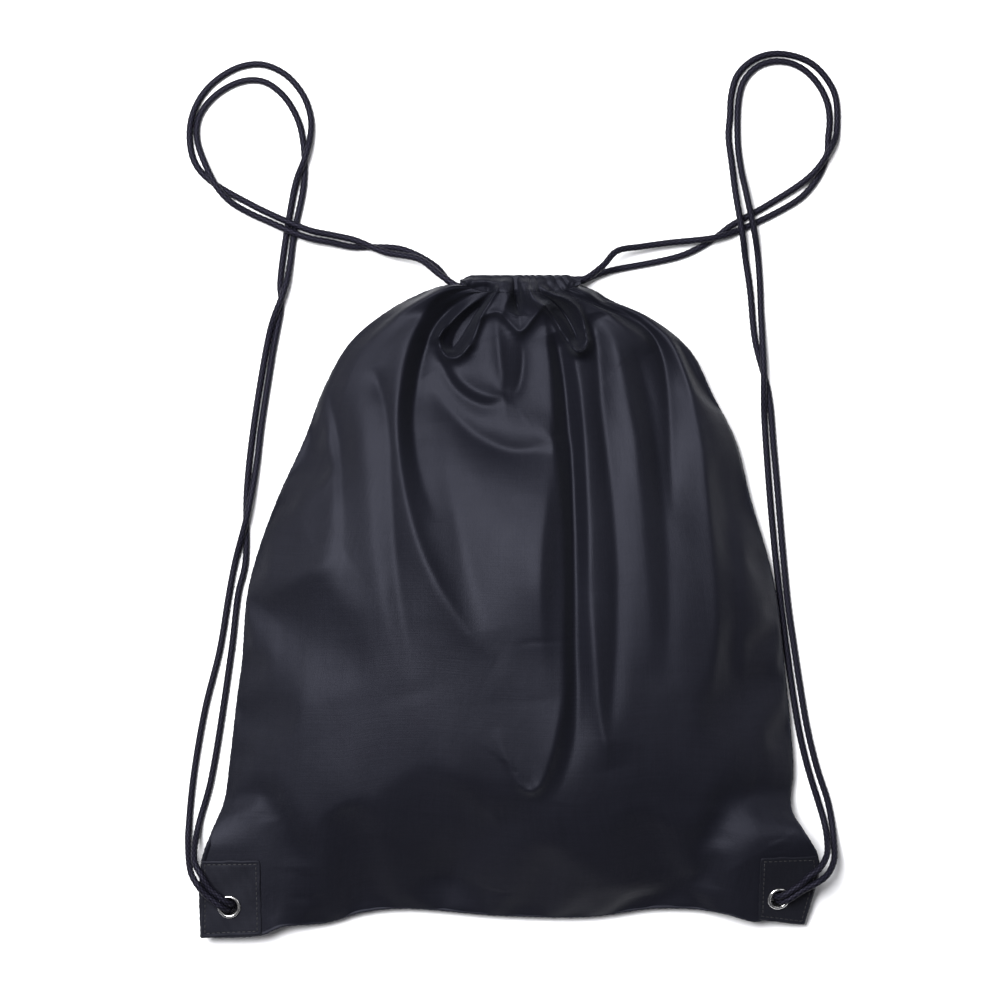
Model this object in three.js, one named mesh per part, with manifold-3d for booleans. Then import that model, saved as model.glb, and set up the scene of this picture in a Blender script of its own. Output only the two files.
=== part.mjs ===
// A drawstring backpack, in millimetres, +Z up. It lies flat on its back with its mouth
// drawn shut towards +Y, and its two doubled cords lie looped on the ground beside it.
import * as THREE from 'three';
import { mergeVertices } from 'three/addons/utils/BufferGeometryUtils.js';
import Module from 'manifold-3d';

const wasm = await Module();
wasm.setup();

// Driving dimensions.
const CLOTH = 0.8; // thickness that stands for one layer of cloth
const GAP = 0.3; // clearance between touching pieces
const HALF_SEAM = GAP / 2; // each panel's distance from the seam surface
const SEAM_STACK = CLOTH + HALF_SEAM; // from the seam surface to a panel's outer face
const PUFF = 46; // how far the front panel stands above its seams
const MOUTH_PUFF = 8; // the same, at the mouth
const FULL_UP_TO = 0.42; // the share of its length over which the front panel is full
const BOTTOM_ROUND = 0.28; // the share that rounds down to the bottom seam
const SIDE_ROUND = 0.9; // less than 1 makes the front panel fuller beside its side seams
const BACK_EDGE = { sides: 0.42, bottom: 0.07, mouth: 0.1 }; // where the back leaves the ground
const MOUTH_LIFT = 0.355; // the share by which its mouth stays up
const ACROSS = 20; // cells across each panel
const ALONG = 24; // and along it
const SEAM_STRIPS = {
  sides: { u: [0.0125, 0.034], v: [0.19, 0.93], cells: 30 },
  bottom: { u: [0.27, 0.73], v: [0.012, 0.03], cells: 16 },
};
const ROUND_SEGMENTS = 24;
const CORD_DIAMETER = 3.5;
const CORD_SIDES = 8;
const STRAND_STEPS = 72;
const RUN_STEPS = 36;

const CASING = { left: -24, right: 36.5, middleY: 178, halfDepth: 4.8, halfHeight: 4.6 };
const RUFFLES = { rings: 28, sides: 12, pleats: 7, ruffle: 0.07, squareness: 0.4 };
const FRONT_CASING_Z = 20.5;
const REAR_CASING_Z = 5.2;
const LEFT_LANE_Y = 176; // where the left cord runs through both casings
const RIGHT_LANE_Y = 180; // where the right cord does
const SLOT = { halfWidth: 4.1, halfHeight: 2.2 };
const BIGHT_NOTCH = 20.5; // length of casing wall cut away for each cord's turn
const RUN_PROUD = 1.5; // how far each cord run stands out of its casings
const TURN_STEPS = 12;
const TURN_CLEARANCE = 6; // between a cord's turn and the plane of its casings' far ends
const CUT_CLEARANCE = 5; // how far a cutting tool runs past what it cuts

const EYELET = { hole: 4.5, barrel: 4.9, flange: 6.5 };
const CLOTH_HOLE = EYELET.barrel + GAP;
const PATCH_OFFSET = SEAM_STACK + GAP; // from the seam surface to a patch's inner face
const PATCH_MARGIN = 18; // flat cloth around each corner patch
const PATCH_FALLOFF = 34; // and the width over which the cloth leaves that plane
const STITCHES = { inset: 2.2, width: 0.7, height: 0.4 }; // the row of stitches round a patch

// Each bottom corner is a flat plane through its eyelet. Its axis leans over by an angle,
// towards a bearing in plan. The outline is in plan, measured from the eyelet's centre.
const CORNERS = {
  left: cornerPlane({
    eye: [-156.1, -168.8, 13.8],
    lean: 7,
    leanBearing: -110,
    cordBearing: 141,
    outline: [[-16.1, -18], [18, -16.3], [17.5, 26.3], [-15.6, 25.7]],
  }),
  right: cornerPlane({
    eye: [149.5, -163.9, 13.8],
    lean: 22,
    leanBearing: -60,
    cordBearing: 34,
    outline: [[-10.9, -12.5], [15.5, -16.4], [22.7, 13.6], [21.4, 23.8], [-10.9, 23.6]],
  }),
};

// The seam line around the bag, from each bottom corner to the mouth.
const LEFT_SEAM = [
  [-172.2, -186.8, 7], [-172.6, -159, 7], [-171, -143, 7], [-165, -126, 7], [-159.5, -112, 7],
  [-156, -87, 7], [-152, -52, 7], [-149.5, -34, 7], [-146.5, 4, 7], [-140.5, 28, 7],
  [-129.5, 58, 7], [-114.5, 91, 7], [-103, 121, 7], [-89, 145, 8], [-69, 162, 9],
  [-44.5, 173, 11], [-25.5, 172.4, 12.8],
];
const RIGHT_SEAM = [
  [164.9, -180.3, 7], [169, -165, 7], [172.2, -150.3, 7], [171, -140, 7], [163.5, -127, 7],
  [157, -115.5, 7], [158.5, -95, 7], [157, -71, 7], [154.5, -45, 7], [149, 4, 7],
  [144, 26, 7], [134.5, 58, 7], [126, 91, 7], [113.5, 116, 7], [100.5, 141, 8],
  [78, 159, 9], [56, 169, 11], [37.5, 172.4, 12.8],
];
const BOTTOM_SEAM = [
  [-172.2, -186.8, 7], [-138.6, -185.2, 7], [-127, -180.6, 7], [-102.8, -179, 7],
  [-83, -173.3, 7], [-60, -171, 7], [-5, -175, 7], [44.5, -175.6, 7], [82, -171, 7],
  [118, -172.8, 7], [137.5, -177.8, 7], [144.2, -176.9, 7], [164.9, -180.3, 7],
];
const MOUTH_LINE = [[-25.5, 172.4, 12.8], [6, 172.4, 12.8], [37.5, 172.4, 12.8]];

// Each free strand's route, from its casing's end towards its eyelet. It ends at the
// piece of cord that comes up through the eyelet.
const ROUTES = {
  left_front_strand: [
    [-25.8, 176, 20.5], [-29, 176.3, 20.4], [-38.5, 182.6, 17.6], [-50, 191.6, 12.5],
    [-70, 196.3, 6.9], [-87, 203.2, 5.6], [-99, 205.9, 5.4], [-111, 208.3, 6.2],
    [-121, 212, 6.2], [-144, 222.8, 2.2], [-169.5, 238, 2], [-177, 247.5, 2],
    [-179.7, 260, 2], [-178.3, 273, 2], [-172.5, 285, 2], [-163, 294.5, 2],
    [-150.5, 301, 2], [-138.5, 302, 2], [-126, 296.5, 2], [-116, 285, 2],
    [-111.6, 272, 2.2], [-111.9, 260, 4.4], [-115, 248, 6.2], [-119.5, 237, 3.6],
    [-122.6, 223, 2.2], [-128.8, 179, 2], [-128.2, 168, 2], [-133, 140, 2], [-139.5, 98, 2],
    [-142.3, 75, 3], [-147.2, 48, 6.2], [-154, 23, 2.2], [-157.5, 5, 2], [-162.8, -27, 2],
    [-171, -60, 2], [-177.5, -98, 2], [-180, -124, 2.6], [-180.2, -134, 5.5],
    [-177.2, -150, 17.5], [-173, -156.8, 20.3],
  ],
  left_rear_strand: [
    [-25.8, 176, 5.2], [-28, 176.2, 5.1], [-34, 180, 4.1], [-41.5, 188.6, 2.9], [-60, 198.2, 2],
    [-78, 199.5, 2], [-89, 199.6, 3.4], [-100, 201.8, 5.2], [-112.5, 204.2, 6.2],
    [-122.5, 207.8, 6.2], [-134, 213, 4.2], [-146, 218.5, 3.8], [-156, 224.3, 5.6],
    [-163, 231.5, 6.2], [-168.5, 241, 4.6], [-175.5, 260, 2], [-174.5, 272, 2],
    [-168, 282, 2], [-158, 289.5, 2], [-147, 293.2, 2], [-137, 292, 2], [-127, 284.5, 2],
    [-119.5, 272.5, 2], [-116.1, 260, 2], [-115.4, 236, 2], [-121, 207, 2],
    [-123.2, 190, 2.6], [-124.9, 180, 4.8], [-128, 170, 6.2], [-132, 160, 4.8], [-135, 150, 2.6],
    [-143.8, 98, 2], [-147.6, 62, 2], [-148.4, 22, 2], [-152.3, 5, 2],
    [-156.2, -27, 2], [-167.7, -100, 2], [-174.8, -127, 4],
    [-175.2, -143.5, 17.6], [-171.2, -151, 20.6],
  ],
  right_front_strand: [
    [38.3, 180, 20.5], [42, 180.4, 20.3], [52, 187.8, 17], [60, 196.4, 11.6],
    [74, 199.3, 7.6], [90, 201.6, 6.2], [116, 204.6, 6.2], [131, 209.8, 2.4], [162, 226, 2],
    [170, 234, 2], [175.5, 243, 2], [178.5, 252, 2], [179, 261, 2], [179.8, 270, 2],
    [178.6, 280, 2], [174, 290, 2], [166, 298.7, 2], [157, 303.1, 2], [147, 303.6, 2],
    [138.5, 300.3, 2], [132, 293.3, 2], [129, 284, 2], [128.2, 259, 2], [130, 243, 3.4],
    [132.3, 231, 6.4], [137.4, 207, 5.6], [139.4, 195, 2.4], [140.6, 180, 2],
    [141.2, 163, 2.4], [142.5, 131, 6.2], [142.6, 117, 5], [143.2, 102, 2], [149, 29, 2],
    [161.5, -66, 2], [167, -91, 2], [176.8, -124, 3], [177.8, -133, 8],
    [176.6, -140.5, 16.4], [172, -147.2, 21], [166, -151.6, 22],
  ],
  right_rear_strand: [
    [38.3, 180, 5.2], [40.5, 180.2, 5], [52, 185, 2.6], [98, 195.2, 2], [116, 205, 2],
    [124, 211.2, 2],
    [144, 222.5, 2], [165, 236, 4.2], [173, 243.6, 6.2], [181.4, 257, 5.3],
    [183.6, 263, 2.6], [183.2, 283.5, 2], [178.2, 294, 2], [169.5, 302.8, 2],
    [158, 307.3, 2], [146.5, 307.9, 2], [136, 304, 2], [128, 296, 2], [124.6, 285, 2],
    [123.8, 273, 2], [123, 262, 2], [124.8, 246, 3], [126.4, 231, 6.2], [130.4, 207, 6.4],
    [132.4, 193, 3], [135, 176, 2], [138, 147, 2], [145.5, 117, 2],
    [148.6, 85, 2], [156.2, 1, 2], [159.4, -22, 2], [163, -46, 2], [167.5, -72, 2],
    [173, -94, 2], [178.5, -111, 2.2], [181, -124, 3], [181.6, -134, 7],
    [181, -143.5, 13.5], [176.6, -151, 18.6], [170, -155.6, 20.6],
  ],
};

const COLORS = { cloth: 0x23242c, casing: 0x262731, patch: 0x1c1d22, cord: 0x141416 };
const METAL = { color: 0xc9c9cc, roughness: 0.25, metalness: 1 };
const THREAD_COLOR = 0x1a1a20;

const bag = new THREE.Group();

function cornerPlane({ eye, lean, leanBearing, cordBearing, outline }) {
  const [leanAngle, bearing, cord] = [lean, leanBearing, cordBearing].map(THREE.MathUtils.degToRad);
  const normal = new THREE.Vector3(Math.cos(bearing) * Math.sin(leanAngle),
    Math.sin(bearing) * Math.sin(leanAngle), Math.cos(leanAngle));
  const turn = new THREE.Quaternion().setFromUnitVectors(new THREE.Vector3(0, 0, 1), normal);
  return { eye: new THREE.Vector3(...eye), normal, turn, cordBearing: cord, outline };
}

// How far a corner's plane is above or below its eyelet, at a place in plan.
function planeHeight(corner, dx, dy) {
  return -(corner.normal.x * dx + corner.normal.y * dy) / corner.normal.z;
}

function addMesh(parent, name, geometry, color, roughness = 0.6, metalness = 0) {
  const material = new THREE.MeshStandardMaterial({ color, roughness, metalness });
  const mesh = new THREE.Mesh(geometry, material);
  mesh.name = name;
  parent.add(mesh);
  return mesh;
}

function addMetal(parent, name, geometry) {
  addMesh(parent, name, geometry, METAL.color, METAL.roughness, METAL.metalness);
}

function toSolid(geometry) {
  const bare = geometry.clone();
  bare.deleteAttribute('normal');
  bare.deleteAttribute('uv');
  const merged = mergeVertices(bare, 1e-3);
  const vertProperties = Float32Array.from(merged.attributes.position.array);
  const triVerts = Uint32Array.from(merged.index.array);
  return new wasm.Manifold(new wasm.Mesh({ numProp: 3, vertProperties, triVerts }));
}

function toGeometry(solid) {
  const { vertProperties, triVerts } = solid.getMesh();
  const geometry = new THREE.BufferGeometry();
  geometry.setAttribute('position', new THREE.BufferAttribute(vertProperties, 3));
  geometry.setIndex(new THREE.BufferAttribute(triVerts, 1));
  geometry.computeVertexNormals();
  return geometry;
}

function cutAway(geometry, ...cutters) {
  return toGeometry(cutters.reduce((solid, cutter) => solid.subtract(toSolid(cutter)),
    toSolid(geometry)));
}

function curveThrough(points) {
  return new THREE.CatmullRomCurve3(points.map((p) => new THREE.Vector3(...p)), false,
    'centripetal');
}

function smooth(value) {
  const t = THREE.MathUtils.clamp(value, 0, 1);
  return t * t * (3 - 2 * t);
}

function tubeAlong(curve, steps, radius = CORD_DIAMETER / 2) {
  const section = new THREE.Shape();
  for (let side = 0; side < CORD_SIDES; side++) {
    const angle = (2 * Math.PI * side) / CORD_SIDES;
    const x = radius * Math.cos(angle);
    const y = radius * Math.sin(angle);
    if (side === 0) section.moveTo(x, y);
    else section.lineTo(x, y);
  }
  return new THREE.ExtrudeGeometry(section, { steps, extrudePath: curve, bevelEnabled: false });
}

// A closed shell between two grids of points, the upper one and the lower one.
function shellBetween(upper, lower, across, along) {
  const positions = [];
  const index = [];
  for (const surface of [upper, lower]) {
    for (let j = 0; j <= along; j++) {
      for (let i = 0; i <= across; i++) positions.push(...surface(i / across, j / along));
    }
  }
  const layer = (across + 1) * (along + 1);
  const at = (i, j) => j * (across + 1) + i;
  const quad = (a, b, c, d) => index.push(a, b, c, a, c, d);
  for (let j = 0; j < along; j++) {
    for (let i = 0; i < across; i++) {
      const cell = [at(i, j), at(i + 1, j), at(i + 1, j + 1), at(i, j + 1)];
      quad(...cell);
      const below = cell.map((k) => k + layer);
      index.push(below[0], below[2], below[1], below[0], below[3], below[2]);
    }
  }
  const wall = (a, b) => quad(a + layer, b + layer, b, a);
  for (let i = 0; i < across; i++) {
    wall(at(i, 0), at(i + 1, 0));
    wall(at(i + 1, along), at(i, along));
  }
  for (let j = 0; j < along; j++) {
    wall(at(across, j), at(across, j + 1));
    wall(at(0, j + 1), at(0, j));
  }
  const geometry = new THREE.BufferGeometry();
  geometry.setAttribute('position', new THREE.Float32BufferAttribute(positions, 3));
  geometry.setIndex(index);
  return geometry;
}

const seams = {
  left: curveThrough(LEFT_SEAM),
  right: curveThrough(RIGHT_SEAM),
  bottom: curveThrough(BOTTOM_SEAM),
  mouth: curveThrough(MOUTH_LINE),
};

// How much of a corner's flat plane the cloth follows at a point in plan.
function cornerShare(corner, x, y) {
  const xs = corner.outline.map((p) => p[0] + corner.eye.x);
  const ys = corner.outline.map((p) => p[1] + corner.eye.y);
  const dx = Math.max(Math.min(...xs) - x, 0, x - Math.max(...xs));
  const dy = Math.max(Math.min(...ys) - y, 0, y - Math.max(...ys));
  return 1 - smooth((Math.hypot(dx, dy) - PATCH_MARGIN) / PATCH_FALLOFF);
}

// The surface on which the two panels meet: stretched over the seam line, and flat at
// the bottom corners. u runs from the left seam to the right, v from the bottom to the mouth.
// free is 0 where the cloth is held flat, and stretch is how much thicker a layer measures
// along Z where its plane leans.
function seamSurface(u, v) {
  const left = seams.left.getPointAt(v);
  const right = seams.right.getPointAt(v);
  const bottom = seams.bottom.getPointAt(u);
  const mouth = seams.mouth.getPointAt(u);
  const ends = [seams.left.getPointAt(0), seams.right.getPointAt(0),
    seams.left.getPointAt(1), seams.right.getPointAt(1)];
  const point = left.multiplyScalar(1 - u).addScaledVector(right, u)
    .addScaledVector(bottom, 1 - v).addScaledVector(mouth, v)
    .addScaledVector(ends[0], -(1 - u) * (1 - v)).addScaledVector(ends[1], -u * (1 - v))
    .addScaledVector(ends[2], -(1 - u) * v).addScaledVector(ends[3], -u * v);
  let free = 1;
  let stretch = 1;
  for (const corner of Object.values(CORNERS)) {
    const share = cornerShare(corner, point.x, point.y);
    const rise = planeHeight(corner, point.x - corner.eye.x, point.y - corner.eye.y);
    point.z = THREE.MathUtils.lerp(point.z, corner.eye.z + rise, share);
    stretch = Math.max(stretch, THREE.MathUtils.lerp(1, 1 / corner.normal.z, share));
    free = Math.min(free, 1 - share);
  }
  return { point, free, stretch };
}

const roundness = (t) => 2 * Math.sqrt(Math.max(t * (1 - t), 0));
const denserAtEnds = (t) => (1 - Math.cos(Math.PI * t)) / 2;

// How far the front panel stands above the seam surface.
function frontRise(u, v, free) {
  const bottomRound = Math.sqrt(1 - (1 - Math.min(v / BOTTOM_ROUND, 1)) ** 2);
  const towardsMouth = smooth((v - FULL_UP_TO) / (1 - FULL_UP_TO));
  const height = THREE.MathUtils.lerp(PUFF, MOUTH_PUFF, towardsMouth);
  return height * roundness(u) ** SIDE_ROUND * bottomRound * free;
}

// How much of the way down to the ground the back panel has come.
function backSink(u, v, free) {
  const fromSides = smooth(roundness(u) / BACK_EDGE.sides);
  const fromBottom = smooth(v / BACK_EDGE.bottom);
  const nearMouth = 1 - MOUTH_LIFT * smooth((v - 1 + BACK_EDGE.mouth) / BACK_EDGE.mouth);
  return fromSides * fromBottom * nearMouth * free;
}

function panelShell(heightsAt) {
  const surface = (layer) => (s, t) => {
    const u = denserAtEnds(s);
    const v = denserAtEnds(t);
    const { point, free, stretch } = seamSurface(u, v);
    return [point.x, point.y, heightsAt({ z: point.z, u, v, free, stretch })[layer]];
  };
  return shellBetween(surface(0), surface(1), ACROSS, ALONG);
}

function frontPanelShell() {
  return panelShell(({ z, u, v, free, stretch }) => {
    const middle = z + frontRise(u, v, free);
    return [middle + SEAM_STACK * stretch, middle + HALF_SEAM * stretch];
  });
}

function backPanelShell() {
  return panelShell(({ z, u, v, free, stretch }) => {
    const under = (z - SEAM_STACK * stretch) * (1 - backSink(u, v, free));
    return [under + CLOTH * stretch, under];
  });
}

// A cylinder along a corner's tilted axis, long enough to pass through both panels.
function eyeletCutter(corner) {
  const cutter = new THREE.CylinderGeometry(CLOTH_HOLE, CLOTH_HOLE, 20, ROUND_SEGMENTS);
  cutter.rotateX(Math.PI / 2);
  cutter.applyQuaternion(corner.turn);
  cutter.translate(...corner.eye);
  return cutter;
}

function addPanels() {
  const cutters = Object.values(CORNERS).map(eyeletCutter);
  addMesh(bag, 'front_panel', cutAway(frontPanelShell(), ...cutters), COLORS.cloth);
  addMesh(bag, 'back_panel', cutAway(backPanelShell(), ...cutters), COLORS.cloth);
}

// The overlocked edges of both panels, a flat strip that runs along the inside of a seam.
function addSeamStrip(name, uRange, vRange, across, along) {
  const strip = (offset) => (s, t) => {
    const u = THREE.MathUtils.lerp(...uRange, s);
    const v = THREE.MathUtils.lerp(...vRange, t);
    const { point } = seamSurface(u, v);
    return [point.x, point.y, point.z + offset];
  };
  const geometry = shellBetween(strip(CLOTH / 2), strip(-CLOTH / 2), across, along);
  addMesh(bag, name, geometry, THREAD_COLOR, 0.8);
}

// A gathered hem: a ruffled block of cloth along X.
function ruffledBody(middleZ) {
  const { rings, sides, pleats, ruffle, squareness } = RUFFLES;
  const surface = (s, t) => {
    const angle = 2 * Math.PI * t;
    const depth = CASING.halfDepth * (1 + ruffle * Math.cos(2 * Math.PI * pleats * s));
    const blunt = (value) => Math.sign(value) * Math.abs(value) ** squareness;
    const y = depth * blunt(Math.cos(angle));
    const z = CASING.halfHeight * blunt(Math.sin(angle));
    const x = THREE.MathUtils.lerp(CASING.left, CASING.right, s);
    return [x, CASING.middleY + y, middleZ + z];
  };
  const positions = [];
  const index = [];
  for (let i = 0; i <= rings; i++) {
    for (let k = 0; k < sides; k++) positions.push(...surface(i / rings, k / sides));
  }
  const at = (i, k) => i * sides + (k % sides);
  for (let i = 0; i < rings; i++) {
    for (let k = 0; k < sides; k++) {
      index.push(at(i, k), at(i + 1, k + 1), at(i + 1, k));
      index.push(at(i, k), at(i, k + 1), at(i + 1, k + 1));
    }
  }
  for (let k = 1; k < sides - 1; k++) {
    index.push(at(0, 0), at(0, k + 1), at(0, k));
    index.push(at(rings, 0), at(rings, k), at(rings, k + 1));
  }
  const geometry = new THREE.BufferGeometry();
  geometry.setAttribute('position', new THREE.Float32BufferAttribute(positions, 3));
  geometry.setIndex(index);
  return geometry;
}

function boxBetween(low, high) {
  const size = high.map((value, axis) => value - low[axis]);
  const middle = high.map((value, axis) => (value + low[axis]) / 2);
  return new THREE.BoxGeometry(...size).translate(...middle);
}

// A casing is open from end to end for both cords. At each end the wall that faces the
// other casing is cut away, where a cord turns from one casing into the other.
function addCasing(name, middleZ, towardsOther) {
  const slot = boxBetween(
    [CASING.left - CUT_CLEARANCE, CASING.middleY - SLOT.halfWidth, middleZ - SLOT.halfHeight],
    [CASING.right + CUT_CLEARANCE, CASING.middleY + SLOT.halfWidth, middleZ + SLOT.halfHeight]);
  const notchDepth = towardsOther * (CASING.halfHeight + CUT_CLEARANCE);
  const [low, high] = [middleZ, middleZ + notchDepth].sort((a, b) => a - b);
  const halfLane = SLOT.halfHeight;
  const notches = [
    boxBetween([CASING.right - BIGHT_NOTCH, LEFT_LANE_Y - halfLane, low],
      [CASING.right + CUT_CLEARANCE, LEFT_LANE_Y + halfLane, high]),
    boxBetween([CASING.left - CUT_CLEARANCE, RIGHT_LANE_Y - halfLane, low],
      [CASING.left + BIGHT_NOTCH, RIGHT_LANE_Y + halfLane, high]),
  ];
  addMesh(bag, name, cutAway(ruffledBody(middleZ), slot, ...notches), COLORS.casing);
}

// The length of cord inside the casings: along the front one, round a half turn at the
// far end and back along the rear one. side is +1 for the cord that leaves at the right.
function addCordRun(name, side, laneY) {
  const exitX = side > 0 ? CASING.right + RUN_PROUD : CASING.left - RUN_PROUD;
  const farEnd = side > 0 ? CASING.left : CASING.right;
  const turnRadius = (FRONT_CASING_Z - REAR_CASING_Z) / 2;
  const turnX = farEnd + side * (turnRadius + CORD_DIAMETER / 2 + TURN_CLEARANCE);
  const middleZ = (FRONT_CASING_Z + REAR_CASING_Z) / 2;
  const path = new THREE.CurvePath();
  const corner = (x, z) => new THREE.Vector3(x, laneY, z);
  path.add(new THREE.LineCurve3(corner(exitX, FRONT_CASING_Z), corner(turnX, FRONT_CASING_Z)));
  const turn = [];
  for (let step = 0; step <= TURN_STEPS; step++) {
    const angle = Math.PI / 2 - (Math.PI * step) / TURN_STEPS;
    turn.push([turnX - side * turnRadius * Math.cos(angle), laneY,
      middleZ + turnRadius * Math.sin(angle)]);
  }
  path.add(curveThrough(turn));
  path.add(new THREE.LineCurve3(corner(turnX, REAR_CASING_Z), corner(exitX, REAR_CASING_Z)));
  addMesh(bag, name, tubeAlong(path, RUN_STEPS), COLORS.cord, 0.7);
}

function plateShape(points) {
  return new THREE.Shape(points.map(([x, y]) => new THREE.Vector2(x, y)));
}

// A patch's outline in its own tilted plane, drawn in from the edge by an inset.
function patchOutline(corner, inset = 0) {
  const flat = corner.outline.map(([x, y]) => {
    const onPlane = new THREE.Vector3(x, y, planeHeight(corner, x, y));
    onPlane.applyQuaternion(corner.turn.clone().invert());
    return new THREE.Vector2(onPlane.x, onPlane.y);
  });
  const count = flat.length;
  return flat.map((point, k) => {
    const before = flat[(k + count - 1) % count].clone().sub(point).normalize();
    const after = flat[(k + 1) % count].clone().sub(point).normalize();
    const sine = Math.abs(before.cross(after));
    const inward = before.add(after).multiplyScalar(inset / sine);
    return [point.x + inward.x, point.y + inward.y];
  });
}

function patchPlate(corner, bottom) {
  const shape = plateShape(patchOutline(corner));
  const hole = new THREE.Path();
  hole.absarc(0, 0, CLOTH_HOLE, 0, 2 * Math.PI, true);
  shape.holes.push(hole);
  const geometry = new THREE.ExtrudeGeometry(shape,
    { depth: CLOTH, bevelEnabled: false, curveSegments: ROUND_SEGMENTS });
  return geometry.translate(0, 0, bottom);
}

// One row of stitches round a patch, as a thin raised line.
function stitchLine(corner) {
  const { inset, width, height } = STITCHES;
  const shape = plateShape(patchOutline(corner, inset));
  const inner = plateShape(patchOutline(corner, inset + width));
  shape.holes.push(new THREE.Path(inner.getPoints().reverse()));
  const geometry = new THREE.ExtrudeGeometry(shape, { depth: height, bevelEnabled: false });
  return geometry.translate(0, 0, PATCH_OFFSET + CLOTH + GAP);
}

function latheRing(profile) {
  const points = [...profile, profile[0]].map(([r, z]) => new THREE.Vector2(r, z));
  return new THREE.LatheGeometry(points, ROUND_SEGMENTS).rotateX(Math.PI / 2);
}

const PATCH_TOP = PATCH_OFFSET + CLOTH;
const FLANGE_UNDER = PATCH_TOP + GAP;

// The eyelet: a flange with a rolled rim, a barrel, and the barrel's clinched lower end.
function eyeletGeometry() {
  const { hole, barrel, flange } = EYELET;
  return latheRing([
    [hole, -FLANGE_UNDER - 1.75], [barrel + 0.8, -FLANGE_UNDER - 1.75],
    [barrel + 0.8, -FLANGE_UNDER - 1.15], [barrel, -FLANGE_UNDER - 1.15],
    [barrel, FLANGE_UNDER], [flange - 0.3, FLANGE_UNDER], [flange, FLANGE_UNDER + 0.3],
    [flange - 0.05, FLANGE_UNDER + 0.6], [flange - 0.6, FLANGE_UNDER + 0.95],
    [barrel + 0.3, FLANGE_UNDER + 0.95], [hole + 0.1, FLANGE_UNDER + 0.6],
    [hole, FLANGE_UNDER + 0.2],
  ]);
}

function washerGeometry() {
  const { flange } = EYELET;
  return latheRing([
    [CLOTH_HOLE, -FLANGE_UNDER - 0.85], [flange, -FLANGE_UNDER - 0.7],
    [flange, -FLANGE_UNDER], [CLOTH_HOLE, -FLANGE_UNDER],
  ]);
}

// Where the cord stands above an eyelet's flange, and how it bends down into the hole.
const CORD_OVER_FLANGE = 5.7;
const HOLE_BEND = 6.5;
const BEND_STEPS = 6;
const STUB_LENGTH = 10;
const APPROACH = 4; // the last of a strand's route, in line with its piece of cord
const STUB_STEPS = 12;
const STUB_SPACING = 1.95; // from the middle of the hole to each of the two cords in it
const STUB_SHIFT = -1; // how far past the middle of the hole the cords go down
const STUB_STRAIGHT = 3.5; // how far below the middle of the hole they are straight
const KNOT = { depth: 9, halfWidth: 6.5, halfBreadth: 5.6, halfHeight: 4.5 };

// A point on a cord at an eyelet, in the corner's own axes: a distance from the hole's
// centre towards the side that the cord comes from, a distance beside it, and a height.
function cordPoint(corner, away, beside, height) {
  const bearing = corner.cordBearing;
  return [away * Math.cos(bearing) - beside * Math.sin(bearing),
    away * Math.sin(bearing) + beside * Math.cos(bearing), height];
}

function stubCurve(corner, beside) {
  const points = [cordPoint(corner, STUB_SHIFT, beside, -KNOT.depth)];
  points.push(cordPoint(corner, STUB_SHIFT, beside, -STUB_STRAIGHT));
  for (let step = 0; step <= BEND_STEPS; step++) {
    const angle = (Math.PI / 2) * (step / BEND_STEPS);
    points.push(cordPoint(corner, STUB_SHIFT + HOLE_BEND * (1 - Math.cos(angle)), beside,
      CORD_OVER_FLANGE - HOLE_BEND * (1 - Math.sin(angle))));
  }
  points.push(cordPoint(corner, STUB_LENGTH, beside, CORD_OVER_FLANGE));
  return curveThrough(points);
}

// The knot that stops both strands below the eyelet, with their ends through the hole.
function knotGeometry(corner) {
  const lump = new THREE.SphereGeometry(1, 12, 8);
  lump.scale(KNOT.halfWidth, KNOT.halfBreadth, KNOT.halfHeight);
  lump.rotateZ(corner.cordBearing);
  lump.translate(0, 0, -KNOT.depth);
  const stubs = [-STUB_SPACING, STUB_SPACING].map((beside) =>
    toSolid(tubeAlong(stubCurve(corner, beside), STUB_STEPS)));
  return toGeometry(stubs.reduce((solid, stub) => solid.add(stub), toSolid(lump)));
}

function addCorner(side) {
  const corner = CORNERS[side];
  const group = new THREE.Group();
  group.position.copy(corner.eye);
  group.quaternion.copy(corner.turn);
  bag.add(group);
  addMesh(group, `${side}_patch_front`, patchPlate(corner, PATCH_OFFSET), COLORS.patch);
  addMesh(group, `${side}_patch_back`, patchPlate(corner, -PATCH_TOP), COLORS.patch);
  addMesh(group, `${side}_patch_thread`, stitchLine(corner), THREAD_COLOR, 0.8);
  addMetal(group, `${side}_eyelet`, eyeletGeometry());
  addMetal(group, `${side}_eyelet_washer`, washerGeometry());
  addMesh(group, `${side}_knot`, knotGeometry(corner), COLORS.cord, 0.7);
  group.updateMatrixWorld(true);
  return group;
}

// A strand's route runs on to the end of its piece of cord at the eyelet.
function addStrand(name, corner, group, beside) {
  const approach = [STUB_LENGTH + APPROACH, STUB_LENGTH + GAP].map((away) =>
    group.localToWorld(new THREE.Vector3(
      ...cordPoint(corner, away, beside, CORD_OVER_FLANGE))));
  const points = [...ROUTES[name], ...approach.map((point) => point.toArray())];
  addMesh(bag, name, tubeAlong(curveThrough(points), STRAND_STEPS), COLORS.cord, 0.7);
}

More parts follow.
